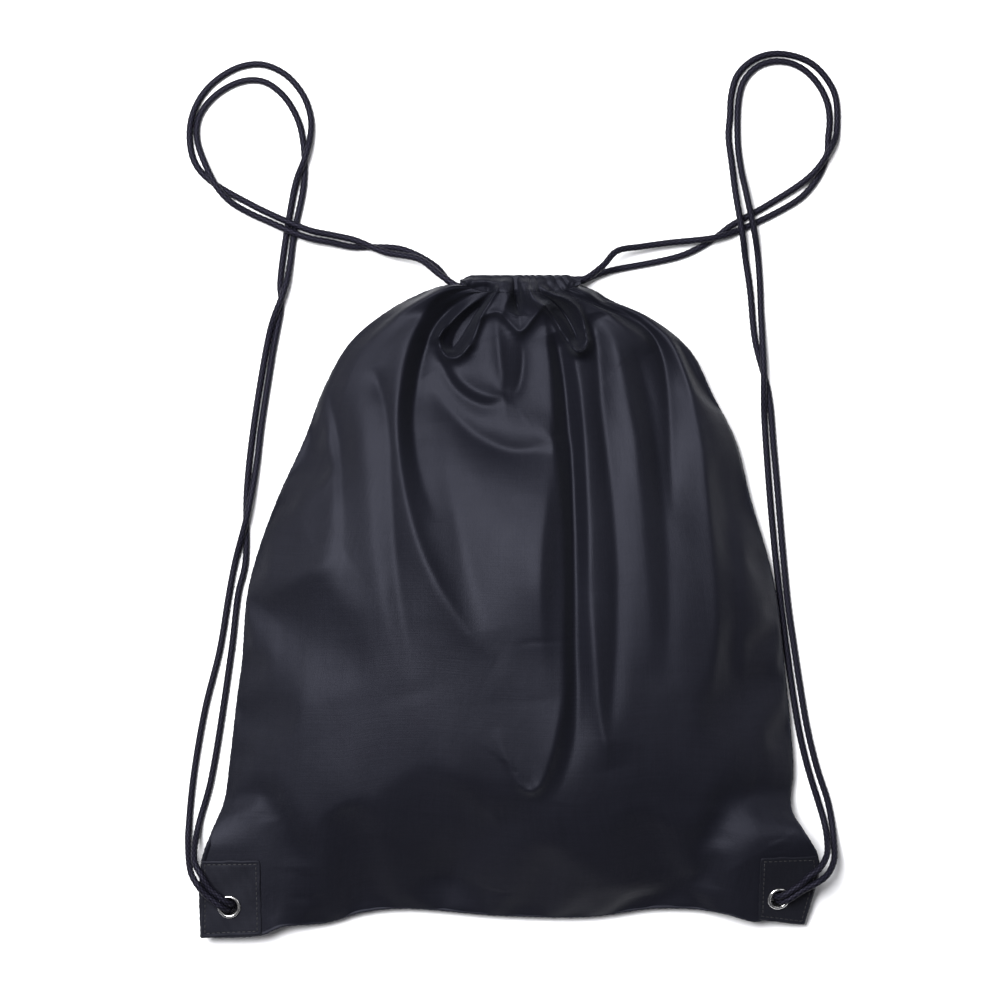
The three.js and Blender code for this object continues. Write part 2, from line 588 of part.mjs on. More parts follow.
addPanels();
const { sides, bottom } = SEAM_STRIPS;
addSeamStrip('left_side_seam', sides.u, sides.v, 1, sides.cells);
addSeamStrip('right_side_seam', sides.u.map((u) => 1 - u).reverse(), sides.v, 1, sides.cells);
addSeamStrip('bottom_seam', bottom.u, bottom.v, bottom.cells, 1);
addCasing('front_casing', FRONT_CASING_Z, -1);
addCasing('rear_casing', REAR_CASING_Z, 1);
addCordRun('left_cord_run', -1, LEFT_LANE_Y);
addCordRun('right_cord_run', 1, RIGHT_LANE_Y);
const leftGroup = addCorner('left');
const rightGroup = addCorner('right');
addStrand('left_front_strand', CORNERS.left, leftGroup, STUB_SPACING);
addStrand('left_rear_strand', CORNERS.left, leftGroup, -STUB_SPACING);
addStrand('right_front_strand', CORNERS.right, rightGroup, STUB_SPACING);
addStrand('right_rear_strand', CORNERS.right, rightGroup, -STUB_SPACING);

export default bag;
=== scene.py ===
"""Looks for the drawstring backpack: cloth, cords, metal, stitches, floor, light and camera.

Lists of places are in millimetres in the part's frame, and MM turns them into metres.
"""
import math

import bpy
import numpy as np
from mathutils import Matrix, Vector


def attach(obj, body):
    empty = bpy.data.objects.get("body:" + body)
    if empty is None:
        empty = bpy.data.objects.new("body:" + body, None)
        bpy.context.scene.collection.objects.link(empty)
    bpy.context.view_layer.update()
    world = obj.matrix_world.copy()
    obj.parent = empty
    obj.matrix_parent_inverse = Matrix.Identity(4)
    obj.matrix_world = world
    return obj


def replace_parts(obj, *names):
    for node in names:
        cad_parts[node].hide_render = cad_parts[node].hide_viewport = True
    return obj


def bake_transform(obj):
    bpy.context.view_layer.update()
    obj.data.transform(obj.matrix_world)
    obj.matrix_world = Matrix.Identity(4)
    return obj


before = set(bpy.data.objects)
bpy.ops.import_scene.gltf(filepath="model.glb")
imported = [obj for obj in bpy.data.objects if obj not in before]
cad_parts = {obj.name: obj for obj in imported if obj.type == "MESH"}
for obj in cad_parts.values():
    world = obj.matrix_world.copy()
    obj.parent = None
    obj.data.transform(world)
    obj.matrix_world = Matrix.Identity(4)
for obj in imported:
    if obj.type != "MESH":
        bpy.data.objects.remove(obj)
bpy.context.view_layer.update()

MM = 0.001
CORD_DIAMETER = 3.5 * MM

# ---------------------------------------------------------------- camera
CAMERA_HEIGHT = 1.6
VIEW_WIDTH = 0.56  # what the camera sees at the height of the bag's seams
VIEW_CENTRE = (-0.0053, 0.0574)
SEAM_HEIGHT = 0.007
SENSOR = 36.0


def add_camera():
    data = bpy.data.cameras.new("camera")
    data.sensor_width = SENSOR
    data.lens = SENSOR * (CAMERA_HEIGHT - SEAM_HEIGHT) / VIEW_WIDTH
    data.clip_start, data.clip_end = 0.1, 10
    camera = bpy.data.objects.new("camera", data)
    camera.location = (*VIEW_CENTRE, CAMERA_HEIGHT)
    bpy.context.scene.collection.objects.link(camera)
    bpy.context.scene.camera = camera


add_camera()

# ---------------------------------------------------------------- curves and meshes


def smooth(value):
    t = np.clip(value, 0, 1)
    return t * t * (3 - 2 * t)


def lerp(a, b, t):
    return a + (b - a) * t


def centripetal(points, steps=24):
    """Places along the centripetal Catmull-Rom curve through some points."""
    p = np.array(points, float)
    p = np.vstack([2 * p[0] - p[1], p, 2 * p[-1] - p[-2]])
    gaps = np.sqrt(np.linalg.norm(np.diff(p, axis=0), axis=1))
    t = np.arange(steps)[:, None] / steps
    pieces = []
    for k in range(1, len(p) - 2):
        p0, p1, p2, p3 = p[k - 1:k + 3]
        d0, d1, d2 = gaps[k - 1:k + 2]
        m1 = ((p1 - p0) / d0 - (p2 - p0) / (d0 + d1) + (p2 - p1) / d1) * d1
        m2 = ((p2 - p1) / d1 - (p3 - p1) / (d1 + d2) + (p3 - p2) / d2) * d1
        pieces.append(p1 + m1 * t + (3 * (p2 - p1) - 2 * m1 - m2) * t ** 2
                      + (2 * (p1 - p2) + m1 + m2) * t ** 3)
    return np.vstack([*pieces, p[-2:-1]])


def distances(line):
    """How far each point of a polyline is from its start, measured along it."""
    return np.concatenate([[0], np.cumsum(np.linalg.norm(np.diff(line, axis=0), axis=1))])


def evenly(line, shares):
    """Places on a polyline at shares of its length."""
    along = distances(line)
    where = np.asarray(shares) * along[-1]
    return np.stack([np.interp(where, along, line[:, k]) for k in range(line.shape[1])], axis=1)


def line_length(line):
    return float(np.linalg.norm(np.diff(line, axis=0), axis=1).sum())


def directions(line):
    """Unit vectors along a polyline, at its points."""
    tangent = np.gradient(line, axis=0)
    return tangent / np.linalg.norm(tangent, axis=1)[:, None]


def new_object(name, points, faces, material, uvs=None):
    mesh = bpy.data.meshes.new(name)
    mesh.from_pydata([tuple(p) for p in points], [], [tuple(int(k) for k in f) for f in faces])
    if uvs is not None:
        layer = mesh.uv_layers.new(name="cloth")
        corner = np.zeros(len(mesh.loops), np.int32)
        mesh.loops.foreach_get("vertex_index", corner)
        layer.data.foreach_set("uv", np.asarray(uvs, np.float32)[corner].ravel())
    mesh.materials.append(material)
    mesh.polygons.foreach_set("use_smooth", [True] * len(mesh.polygons))
    mesh.update()
    piece = bpy.data.objects.new(name, mesh)
    bpy.context.scene.collection.objects.link(piece)
    return piece


def grid_uvs(across, along):
    """A grid's own flat coordinates in metres, row after row."""
    us, vs = np.meshgrid(across, along)
    return np.stack([us.ravel(), vs.ravel()], axis=1)


def thicken(piece, thickness):
    solid = piece.modifiers.new("thickness", "SOLIDIFY")
    solid.thickness = thickness
    solid.offset = -1


def grid_faces(rows, columns, wrap=False, flip=False):
    """The quads of a grid of points, row after row."""
    index = np.arange(rows * columns).reshape(rows, columns)
    right = np.roll(index, -1, axis=1)
    if not wrap:
        index, right = index[:, :-1], right[:, :-1]
    a, b, c, d = index[:-1], right[:-1], right[1:], index[1:]
    faces = np.stack([a, b, c, d], axis=-1).reshape(-1, 4)
    return faces[:, ::-1] if flip else faces


# ---------------------------------------------------------------- materials


class Nodes:
    """A material's node tree, with short calls that add a node and link it."""

    def __init__(self, name):
        self.material = bpy.data.materials.new(name)
        self.material.use_nodes = True
        self.tree = self.material.node_tree
        self.shader = self.tree.nodes["Principled BSDF"]

    def add(self, kind, inputs=None, **settings):
        node = self.tree.nodes.new(kind)
        for key, value in settings.items():
            setattr(node, key, value)
        for key, value in (inputs or {}).items():
            self.put(value, node.inputs[key])
        return node

    def put(self, value, socket):
        if isinstance(value, bpy.types.NodeSocket):
            self.tree.links.new(value, socket)
        else:
            socket.default_value = value

    def math(self, operation, a, b=0.0):
        return self.add("ShaderNodeMath", {0: a, 1: b}, operation=operation).outputs[0]

    def wave(self, value, turns):
        return self.math("SINE", self.math("MULTIPLY", value, turns))

    def noise(self, vector, scale, detail=3.0, roughness=0.5):
        node = self.add("ShaderNodeTexNoise", {"Vector": vector, "Scale": scale,
                                               "Detail": detail, "Roughness": roughness})
        return node.outputs["Fac"]

    def mapped(self, vector, scale):
        return self.add("ShaderNodeMapping", {"Vector": vector, "Scale": scale}).outputs[0]

    def between(self, value, low, high, to_low, to_high):
        return self.add("ShaderNodeMapRange", {"Value": value, 1: low, 2: high, 3: to_low,
                                               4: to_high}).outputs[0]

    def mix(self, factor, a, b):
        node = self.add("ShaderNodeMix", data_type="RGBA")
        self.put(factor, node.inputs[0])
        self.put(a, node.inputs[6])
        self.put(b, node.inputs[7])
        return node.outputs[2]

    def bump(self, height, strength, distance, normal=None):
        inputs = {"Height": height, "Strength": strength, "Distance": distance}
        if normal is not None:
            inputs["Normal"] = normal
        return self.add("ShaderNodeBump", inputs).outputs[0]

    def finish(self, **values):
        for key, value in values.items():
            self.put(value, self.shader.inputs[key.replace("_", " ")])
        return self.material


THREAD_PITCH = 0.00034  # between the threads of the sack's plain weave
BRAID_YARNS = 6
BRAID_PITCH = 3.4 * MM


def weave_height(nodes, cloth):
    """A plain weave over the cloth's own coordinates: warp over weft, then weft over warp."""
    split = nodes.add("ShaderNodeSeparateXYZ", {0: cloth})
    across = nodes.wave(split.outputs[0], math.pi / THREAD_PITCH)
    along = nodes.wave(split.outputs[1], math.pi / THREAD_PITCH)
    over = nodes.math("GREATER_THAN", nodes.math("MULTIPLY", across, along), 0.0)
    warp = nodes.math("MULTIPLY", nodes.math("ABSOLUTE", across), over)
    weft = nodes.math("MULTIPLY", nodes.math("ABSOLUTE", along), nodes.math("SUBTRACT", 1.0, over))
    return nodes.math("ADD", warp, weft)


def cloth_material(name, dark, light, roughness, gloss):
    """Coated polyester taffeta: fine plain weave, uneven threads and a satin gloss."""
    nodes = Nodes(name)
    cloth = nodes.add("ShaderNodeUVMap", uv_map="cloth").outputs[0]
    blotches = nodes.noise(nodes.mapped(cloth, (9, 9, 1)), 1.0, 4)
    warp_slubs = nodes.noise(nodes.mapped(cloth, (1500, 26, 1)), 1.0, 2)
    weft_slubs = nodes.noise(nodes.mapped(cloth, (26, 1500, 1)), 1.0, 2)
    slubs = nodes.math("ADD", warp_slubs, weft_slubs)
    shade = nodes.math("ADD", nodes.between(blotches, 0.3, 0.7, 0.0, 0.5),
                       nodes.between(slubs, 0.7, 1.3, 0.0, 0.5))
    creases = nodes.noise(nodes.mapped(cloth, (140, 90, 1)), 1.0, 5, 0.62)
    rumples = nodes.noise(nodes.mapped(cloth, (30, 19, 1)), 1.0, 1.2, 0.4)
    normal = nodes.bump(weave_height(nodes, cloth), 0.25, 0.0001)
    normal = nodes.bump(slubs, 0.18, 0.0003, normal)
    normal = nodes.bump(creases, 0.12, 0.0012, normal)
    normal = nodes.bump(rumples, 0.3, 0.006, normal)
    rough = nodes.between(blotches, 0.3, 0.7, roughness - 0.04, roughness + 0.05)
    return nodes.finish(Base_Color=nodes.mix(shade, dark, light), Roughness=rough, Normal=normal,
                        Sheen_Weight=0.03, Sheen_Roughness=0.45, Sheen_Tint=(0.8, 0.85, 1, 1),
                        Specular_IOR_Level=gloss, Specular_Tint=(0.78, 0.8, 1.0, 1))


def cord_material():
    """Braided polyester: the yarns shine along their own length, and painted shade darkens the gaps
    between them.
    """
    nodes = Nodes("braided_cord")
    place = nodes.add("ShaderNodeUVMap", uv_map="cloth").outputs[0]
    split = nodes.add("ShaderNodeSeparateXYZ", {0: place})
    around = nodes.math("MULTIPLY", split.outputs[0], BRAID_YARNS)
    along = nodes.math("MULTIPLY", split.outputs[1], 1 / BRAID_PITCH)
    one = nodes.math("ABSOLUTE", nodes.wave(nodes.math("ADD", around, along), math.pi))
    other = nodes.math("ABSOLUTE", nodes.wave(nodes.math("SUBTRACT", around, along), math.pi))
    ridges = nodes.math("MULTIPLY", one, other)
    fibres = nodes.noise(nodes.mapped(place, (30, 2600, 1)), 1.0, 2)
    # Painted shade: the colour is darkest in the gaps between the yarns, where the braid's relief lies
    # low
    colour = nodes.mix(nodes.between(ridges, 0.05, 0.7, 0.0, 1.0), (0.0008, 0.0008, 0.0016, 1),
                       (0.0105, 0.0100, 0.0165, 1))
    normal = nodes.bump(fibres, 0.35, 0.0002)
    rough = nodes.between(ridges, 0.1, 0.9, 0.62, 0.38)
    return nodes.finish(Base_Color=colour, Roughness=rough, Normal=normal,
                        Specular_IOR_Level=0.10, Specular_Tint=(0.74, 0.72, 1.0, 1))


def nickel_material():
    """Plated brass: a bright grey with fine scratches round the ring and worn spots."""
    nodes = Nodes("nickel")
    place = nodes.add("ShaderNodeTexCoord").outputs["Object"]
    scratches = nodes.noise(nodes.mapped(place, (900, 900, 5200)), 1.0, 3)
    spots = nodes.noise(place, 700.0, 4)
    colour = nodes.mix(nodes.between(spots, 0.35, 0.7, 0.0, 1.0), (0.72, 0.72, 0.73, 1),
                       (0.60, 0.585, 0.57, 1))
    rough = nodes.between(spots, 0.3, 0.7, 0.14, 0.30)
    normal = nodes.bump(scratches, 0.12, 0.0001)
    return nodes.finish(Base_Color=colour, Metallic=1.0, Roughness=rough, Normal=normal)


def thread_material():
    """Twisted polyester sewing thread, a little shinier than the cloth, with painted shade in the
    grooves of its twist.
    """
    nodes = Nodes("seam_thread")
    place = nodes.add("ShaderNodeTexCoord").outputs["Object"]
    twist = nodes.add("ShaderNodeTexWave", {"Vector": place, "Scale": 900.0, "Distortion": 1.5,
                                            "Detail": 1.0}, bands_direction="DIAGONAL")
    # Painted shade: the colour is darker in the grooves of the twist, where the bump sinks
    colour = nodes.mix(twist.outputs["Fac"], (0.004, 0.004, 0.005, 1), (0.011, 0.011, 0.014, 1))
    normal = nodes.bump(twist.outputs["Fac"], 0.4, 0.0002)
    return nodes.finish(Base_Color=colour, Roughness=0.5, Normal=normal)


def floor_material():
    """Matt white board."""
    nodes = Nodes("floor")
    place = nodes.add("ShaderNodeTexCoord").outputs["Object"]
    grain = nodes.noise(place, 350.0, 4)
    colour = nodes.mix(grain, (0.86, 0.86, 0.885, 1), (0.90, 0.90, 0.92, 1))
    return nodes.finish(Base_Color=colour, Roughness=0.85, Normal=nodes.bump(grain, 0.02, 0.0005))


# ---------------------------------------------------------------- cords
STRAND_RINGS, RUN_RINGS, KNOT_RINGS, TAIL_RINGS = 1900, 420, 300, 60
STRAND_SIDES = 24
BRAID_RELIEF = 0.17  # how far the yarns stand out, as a share of the radius
BRAID_MEAN = 0.55  # where in that relief the cord's own radius lies
LOWEST_CORD = 1.92  # the height of a cord's middle where it lies on the floor
INTO_CASING = 12  # how far each strand's piece runs on into its casing

# Each free strand's route, from its casing's end towards its eyelet.
ROUTES = {
    "left_front_strand": [
        (-25.8, 176, 20.5), (-29, 176.3, 20.4), (-38.5, 182.6, 17.6), (-50, 191.6, 12.5),
        (-70, 196.3, 6.9), (-87, 203.2, 5.6), (-99, 205.9, 5.4), (-111, 208.3, 6.2), (-121, 212, 6.2),
        (-144, 222.8, 2.2), (-169.5, 238, 2), (-177, 247.5, 2), (-179.7, 260, 2), (-178.3, 273, 2),
        (-172.5, 285, 2), (-163, 294.5, 2), (-150.5, 301, 2), (-138.5, 302, 2), (-126, 296.5, 2),
        (-116, 285, 2), (-111.6, 272, 2.2), (-111.9, 260, 4.4), (-115, 248, 6.2), (-119.5, 237, 3.6),
        (-122.6, 223, 2.2), (-128.8, 179, 2), (-128.2, 168, 2), (-133, 140, 2), (-139.5, 98, 2),
        (-142.3, 75, 3), (-147.2, 48, 6.2), (-154, 23, 2.2), (-157.5, 5, 2), (-162.8, -27, 2),
        (-171, -60, 2), (-177.5, -98, 2), (-180, -124, 2.6), (-180.2, -134, 5.5), (-177.2, -150, 17.5),
        (-173, -156.8, 20.3),
    ],
    "left_rear_strand": [
        (-25.8, 176, 5.2), (-28, 176.2, 5.1), (-34, 180, 4.1), (-41.5, 188.6, 2.9), (-60, 198.2, 2),
        (-78, 199.5, 2), (-89, 199.6, 3.4), (-100, 201.8, 5.2), (-112.5, 204.2, 6.2),
        (-122.5, 207.8, 6.2), (-134, 213, 4.2), (-146, 218.5, 3.8), (-156, 224.3, 5.6),
        (-163, 231.5, 6.2), (-168.5, 241, 4.6), (-175.5, 260, 2), (-174.5, 272, 2), (-168, 282, 2),
        (-158, 289.5, 2), (-147, 293.2, 2), (-137, 292, 2), (-127, 284.5, 2), (-119.5, 272.5, 2),
        (-116.1, 260, 2), (-115.4, 236, 2), (-121, 207, 2), (-123.2, 190, 2.6), (-124.9, 180, 4.8),
        (-128, 170, 6.2), (-132, 160, 4.8), (-135, 150, 2.6), (-143.8, 98, 2), (-147.6, 62, 2),
        (-148.4, 22, 2), (-152.3, 5, 2), (-156.2, -27, 2), (-167.7, -100, 2), (-174.8, -127, 4),
        (-175.2, -143.5, 17.6), (-171.2, -151, 20.6),
    ],
    "right_front_strand": [
        (38.3, 180, 20.5), (42, 180.4, 20.3), (52, 187.8, 17), (60, 196.4, 11.6), (74, 199.3, 7.6),
        (90, 201.6, 6.2), (116, 204.6, 6.2), (131, 209.8, 2.4), (162, 226, 2), (170, 234, 2),
        (175.5, 243, 2), (178.5, 252, 2), (179, 261, 2), (179.8, 270, 2), (178.6, 280, 2),
        (174, 290, 2), (166, 298.7, 2), (157, 303.1, 2), (147, 303.6, 2), (138.5, 300.3, 2),
        (132, 293.3, 2), (129, 284, 2), (128.2, 259, 2), (130, 243, 3.4), (132.3, 231, 6.4),
        (137.4, 207, 5.6), (139.4, 195, 2.4), (140.6, 180, 2), (141.2, 163, 2.4), (142.5, 131, 6.2),
        (142.6, 117, 5), (143.2, 102, 2), (149, 29, 2), (161.5, -66, 2), (167, -91, 2),
        (176.8, -124, 3), (177.8, -133, 8), (176.6, -140.5, 16.4), (172, -147.2, 21),
        (166, -151.6, 22),
    ],
    "right_rear_strand": [
        (38.3, 180, 5.2), (40.5, 180.2, 5), (52, 185, 2.6), (98, 195.2, 2), (116, 205, 2),
        (124, 211.2, 2), (144, 222.5, 2), (165, 236, 4.2), (173, 243.6, 6.2), (181.4, 257, 5.3),
        (183.6, 263, 2.6), (183.2, 283.5, 2), (178.2, 294, 2), (169.5, 302.8, 2), (158, 307.3, 2),
        (146.5, 307.9, 2), (136, 304, 2), (128, 296, 2), (124.6, 285, 2), (123.8, 273, 2),
        (123, 262, 2), (124.8, 246, 3), (126.4, 231, 6.2), (130.4, 207, 6.4), (132.4, 193, 3),
        (135, 176, 2), (138, 147, 2), (145.5, 117, 2), (148.6, 85, 2), (156.2, 1, 2), (159.4, -22, 2),
        (163, -46, 2), (167.5, -72, 2), (173, -94, 2), (178.5, -111, 2.2), (181, -124, 3),
        (181.6, -134, 7), (181, -143.5, 13.5), (176.6, -151, 18.6), (170, -155.6, 20.6),
    ],
}


def corner_axes(eye, lean, lean_bearing, cord_bearing):
    """A bottom corner's plane: its eyelet's middle, its normal and the turn from +Z to it."""
    tilt, bearing = math.radians(lean), math.radians(lean_bearing)
    normal = Vector((math.cos(bearing) * math.sin(tilt), math.sin(bearing) * math.sin(tilt),
                     math.cos(tilt)))
    return {"eye": Vector(eye), "normal": normal, "bearing": math.radians(cord_bearing),
            "turn": Vector((0, 0, 1)).rotation_difference(normal)}


CORNERS = {
    "left": corner_axes((-156.1, -168.8, 13.8), 7, -110, 141),
    "right": corner_axes((149.5, -163.9, 13.8), 22, -60, 34),
}
OUTLINES = {  # of the corner patches in plan, from the eyelet's middle
    "left": [(-16.1, -18), (18, -16.3), (17.5, 26.3), (-15.6, 25.7)],
    "right": [(-10.9, -12.5), (15.5, -16.4), (22.7, 13.6), (21.4, 23.8), (-10.9, 23.6)],
}
HOLE_RADIUS = 5.2  # in the cloth, round an eyelet's barrel
CORD_OVER_FLANGE = 5.7  # from the seam surface to the cords that lie over an eyelet
HOLE_BEND = 6.5  # how tightly the cords turn down into an eyelet
HOLE_BEND_STEPS = 6
STUB_LENGTH = 10  # the straight end of each strand beside the eyelet
STUB_SPACING = 1.95  # from the middle between both strands to each of them
STUB_SHIFT = -1  # where the strands go down, from the eyelet's middle
KNOT_DEPTH = 9
APPROACH = 4  # how far before its straight end a strand is already in line


def in_corner(corner, away, beside, height):
    """A place in the frame from a corner's own axes, as distances towards the cord's side,
    beside it and up."""
    c, s = math.cos(corner["bearing"]), math.sin(corner["bearing"])
    local = Vector((away * c - beside * s, away * s + beside * c, height))
    return tuple(corner["eye"] + corner["turn"] @ local)


def into_hole(corner, beside):
    """The end of a strand: over the flange, round a quarter turn and down to the knot."""
    points = [in_corner(corner, STUB_LENGTH + APPROACH, beside, CORD_OVER_FLANGE),
              in_corner(corner, STUB_LENGTH, beside, CORD_OVER_FLANGE)]
    for step in range(HOLE_BEND_STEPS, -1, -1):
        angle = math.pi / 2 * step / HOLE_BEND_STEPS
        points.append(in_corner(corner, STUB_SHIFT + HOLE_BEND * (1 - math.cos(angle)), beside,
                                CORD_OVER_FLANGE - HOLE_BEND * (1 - math.sin(angle))))
    points.append(in_corner(corner, STUB_SHIFT, beside, -3.5))
    points.append(in_corner(corner, STUB_SHIFT, beside * 0.8, -KNOT_DEPTH))
    return points


def add_cord(name, line, rings):
    """A round cord along a line in metres, with its braid as real relief and blunt ends."""
    sides, radius = STRAND_SIDES, CORD_DIAMETER / 2
    centre = evenly(line, np.linspace(0, 1, rings))
    length = line_length(line)
    tangent = directions(centre)
    side = np.zeros_like(centre)
    up = np.array([0, 0, 1.0]) if abs(tangent[0][2]) < 0.9 else np.array([1.0, 0, 0])
    side[0] = np.cross(tangent[0], up)
    for k in range(1, rings):  # carried along, so that the section doesn't twist
        side[k] = side[k - 1] - tangent[k] * (side[k - 1] @ tangent[k])
    side /= np.linalg.norm(side, axis=1)[:, None]
    other = np.cross(tangent, side)
    turn = np.arange(sides + 1) / sides
    along = np.linspace(0, length, rings)
    around, run = np.meshgrid(turn, along)
    one = np.sin(math.pi * (around * BRAID_YARNS + run / BRAID_PITCH))
    two = np.sin(math.pi * (around * BRAID_YARNS - run / BRAID_PITCH))
    bulge = np.sqrt(np.abs(one * two))
    r = radius * (1 + BRAID_RELIEF * (bulge - BRAID_MEAN))
    angle = 2 * math.pi * around
    points = (centre[:, None, :] + (r * np.cos(angle))[..., None] * side[:, None, :]
              + (r * np.sin(angle))[..., None] * other[:, None, :])
    points = points[:, :sides].reshape(-1, 3)
    faces = [tuple(f) for f in grid_faces(rings, sides, wrap=True)]
    start, end = len(points), len(points) + 1
    points = np.vstack([points, centre[:1] - tangent[:1] * radius * 0.3,
                        centre[-1:] + tangent[-1:] * radius * 0.3])
    last = (rings - 1) * sides
    for k in range(sides):
        after = (k + 1) % sides
        faces.append((after, k, start))
        faces.append((last + k, last + after, end))
    piece = new_object(name, points, faces, CORD)
    layer = piece.data.uv_layers.new(name="cloth")
    corner = np.zeros(len(piece.data.loops), np.int32)
    piece.data.loops.foreach_get("vertex_index", corner)
    flat_u = np.append(np.tile(turn[:sides], rings), [0.5, 0.5])
    flat_v = np.append(np.repeat(along, sides), [0, length])
    uv = np.stack([flat_u[corner], flat_v[corner]], axis=1)
    for polygon in piece.data.polygons:  # the seam's quads reach u = 1, not back to 0
        where = list(polygon.loop_indices)
        if uv[where, 0].max() - uv[where, 0].min() > 0.5:
            uv[where, 0] = np.where(uv[where, 0] < 0.5, uv[where, 0] + 1, uv[where, 0])
    layer.data.foreach_set("uv", uv.astype(np.float32).ravel())
    return piece


CORD = cord_material()


def add_strand(name):
    """A free strand, from inside its casing to the knot."""
    side = name.split("_")[0]
    corner = CORNERS[side]
    beside = STUB_SPACING if "front" in name else -STUB_SPACING
    start = ROUTES[name][0]
    inward = INTO_CASING if side == "left" else -INTO_CASING
    inside = [start[0] + inward, start[1], start[2]]
    route = [inside, *ROUTES[name], *into_hole(corner, beside)]
    line = centripetal(route) * MM
    line[:, 2] = np.maximum(line[:, 2], LOWEST_CORD * MM)
    strand = add_cord(name.replace("strand", "cord"), line, STRAND_RINGS)
    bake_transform(strand)
    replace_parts(strand, name)


for strand_name in ROUTES:
    add_strand(strand_name)

# ---------------------------------------------------------------- the sack's cloth
PUFF = 40  # how far the front panel stands above its seams
MOUTH_PUFF = 9  # the same, at the mouth
FULL_UP_TO = 0.42  # the share of the sack's length up to which it is fullest
BOTTOM_ROUND = 0.38  # the share of its length over which it rises from the bottom seam
SIDE_POWER, BOTTOM_POWER = 1.45, 2.6  # how it rounds off to the sides and to the bottom
PANEL_GAP = 0.95  # how far each panel's edge is from the surface between them
BACK_LIFT = 0.45  # the lowest the back panel lies, so that its cloth rests on the floor
BACK_SIDES, BACK_BOTTOM = 0.42, 0.07  # the shares over which it sinks there from the seams
MOUTH_STAYS = 0.355  # how much of its height it keeps at the mouth
PLEAT_HEIGHT, PLEAT_REACH = 1.1, 0.03  # of the fine pleats at the mouth
CLOTH_THICKNESS = 0.35 * MM
PATCH_MARGIN = 5  # the corners' flat planes reach so far past the patches
PATCH_FALLOFF = 32  # and then blend into the sack over this distance
PATCH_CLEAR = 9  # the folds fade out over this distance beside the patches
CORNER_TOP, CORNER_BEND = 25, 3  # the corners' planes level off above this height
FINE = (300, 340)  # cells across and along the panels
HEM_TOP = 22.2  # the height to which the front panel climbs over the cords at the mouth
HEM_FROM, HEM_CLIMB = 156, 17  # where in plan it starts to climb, and how fast
FLAT_SACK = (0.345, 0.40)  # what each panel is cut to, seams and hem left out

LEFT_SEAM = [
    (-172.2, -186.8, 7), (-172.6, -159, 7), (-171, -143, 7), (-165, -126, 7), (-159.5, -112, 7),
    (-156, -87, 7), (-152, -52, 7), (-149.5, -34, 7), (-146.5, 4, 7), (-140.5, 28, 7),
    (-129.5, 58, 7), (-114.5, 91, 7), (-103, 121, 7), (-89, 145, 8), (-69, 162, 9),
    (-51, 171.8, 10.5), (-38, 176.4, 12), (-27.5, 177.6, 12.8),
]
RIGHT_SEAM = [
    (164.9, -180.3, 7), (169, -165, 7), (172.2, -150.3, 7), (171, -140, 7), (163.5, -127, 7),
    (157, -115.5, 7), (158.5, -95, 7), (157, -71, 7), (154.5, -45, 7), (149, 4, 7),
    (144, 26, 7), (134.5, 58, 7), (126, 91, 7), (113.5, 116, 7), (100.5, 141, 8),
    (78, 159, 9), (56, 168.8, 11), (47, 174, 12), (39.5, 177, 12.8),
]
BOTTOM_SEAM = [
    (-172.2, -186.8, 7), (-138.6, -185.2, 7), (-127, -180.6, 7), (-102.8, -179, 7),
    (-83, -173.3, 7), (-60, -171, 7), (-5, -175, 7), (44.5, -175.6, 7), (82, -171, 7),
    (118, -172.8, 7), (137.5, -177.8, 7), (144.2, -176.9, 7), (164.9, -180.3, 7),
]
MOUTH_LINE = [
    (-27.5, 177.6, 12.8), (-19, 174, 12.8), (-6, 172.4, 12.8), (8, 172.2, 12.8),
    (22, 172.8, 12.8), (32, 174.2, 12.8), (39.5, 177, 12.8),
]

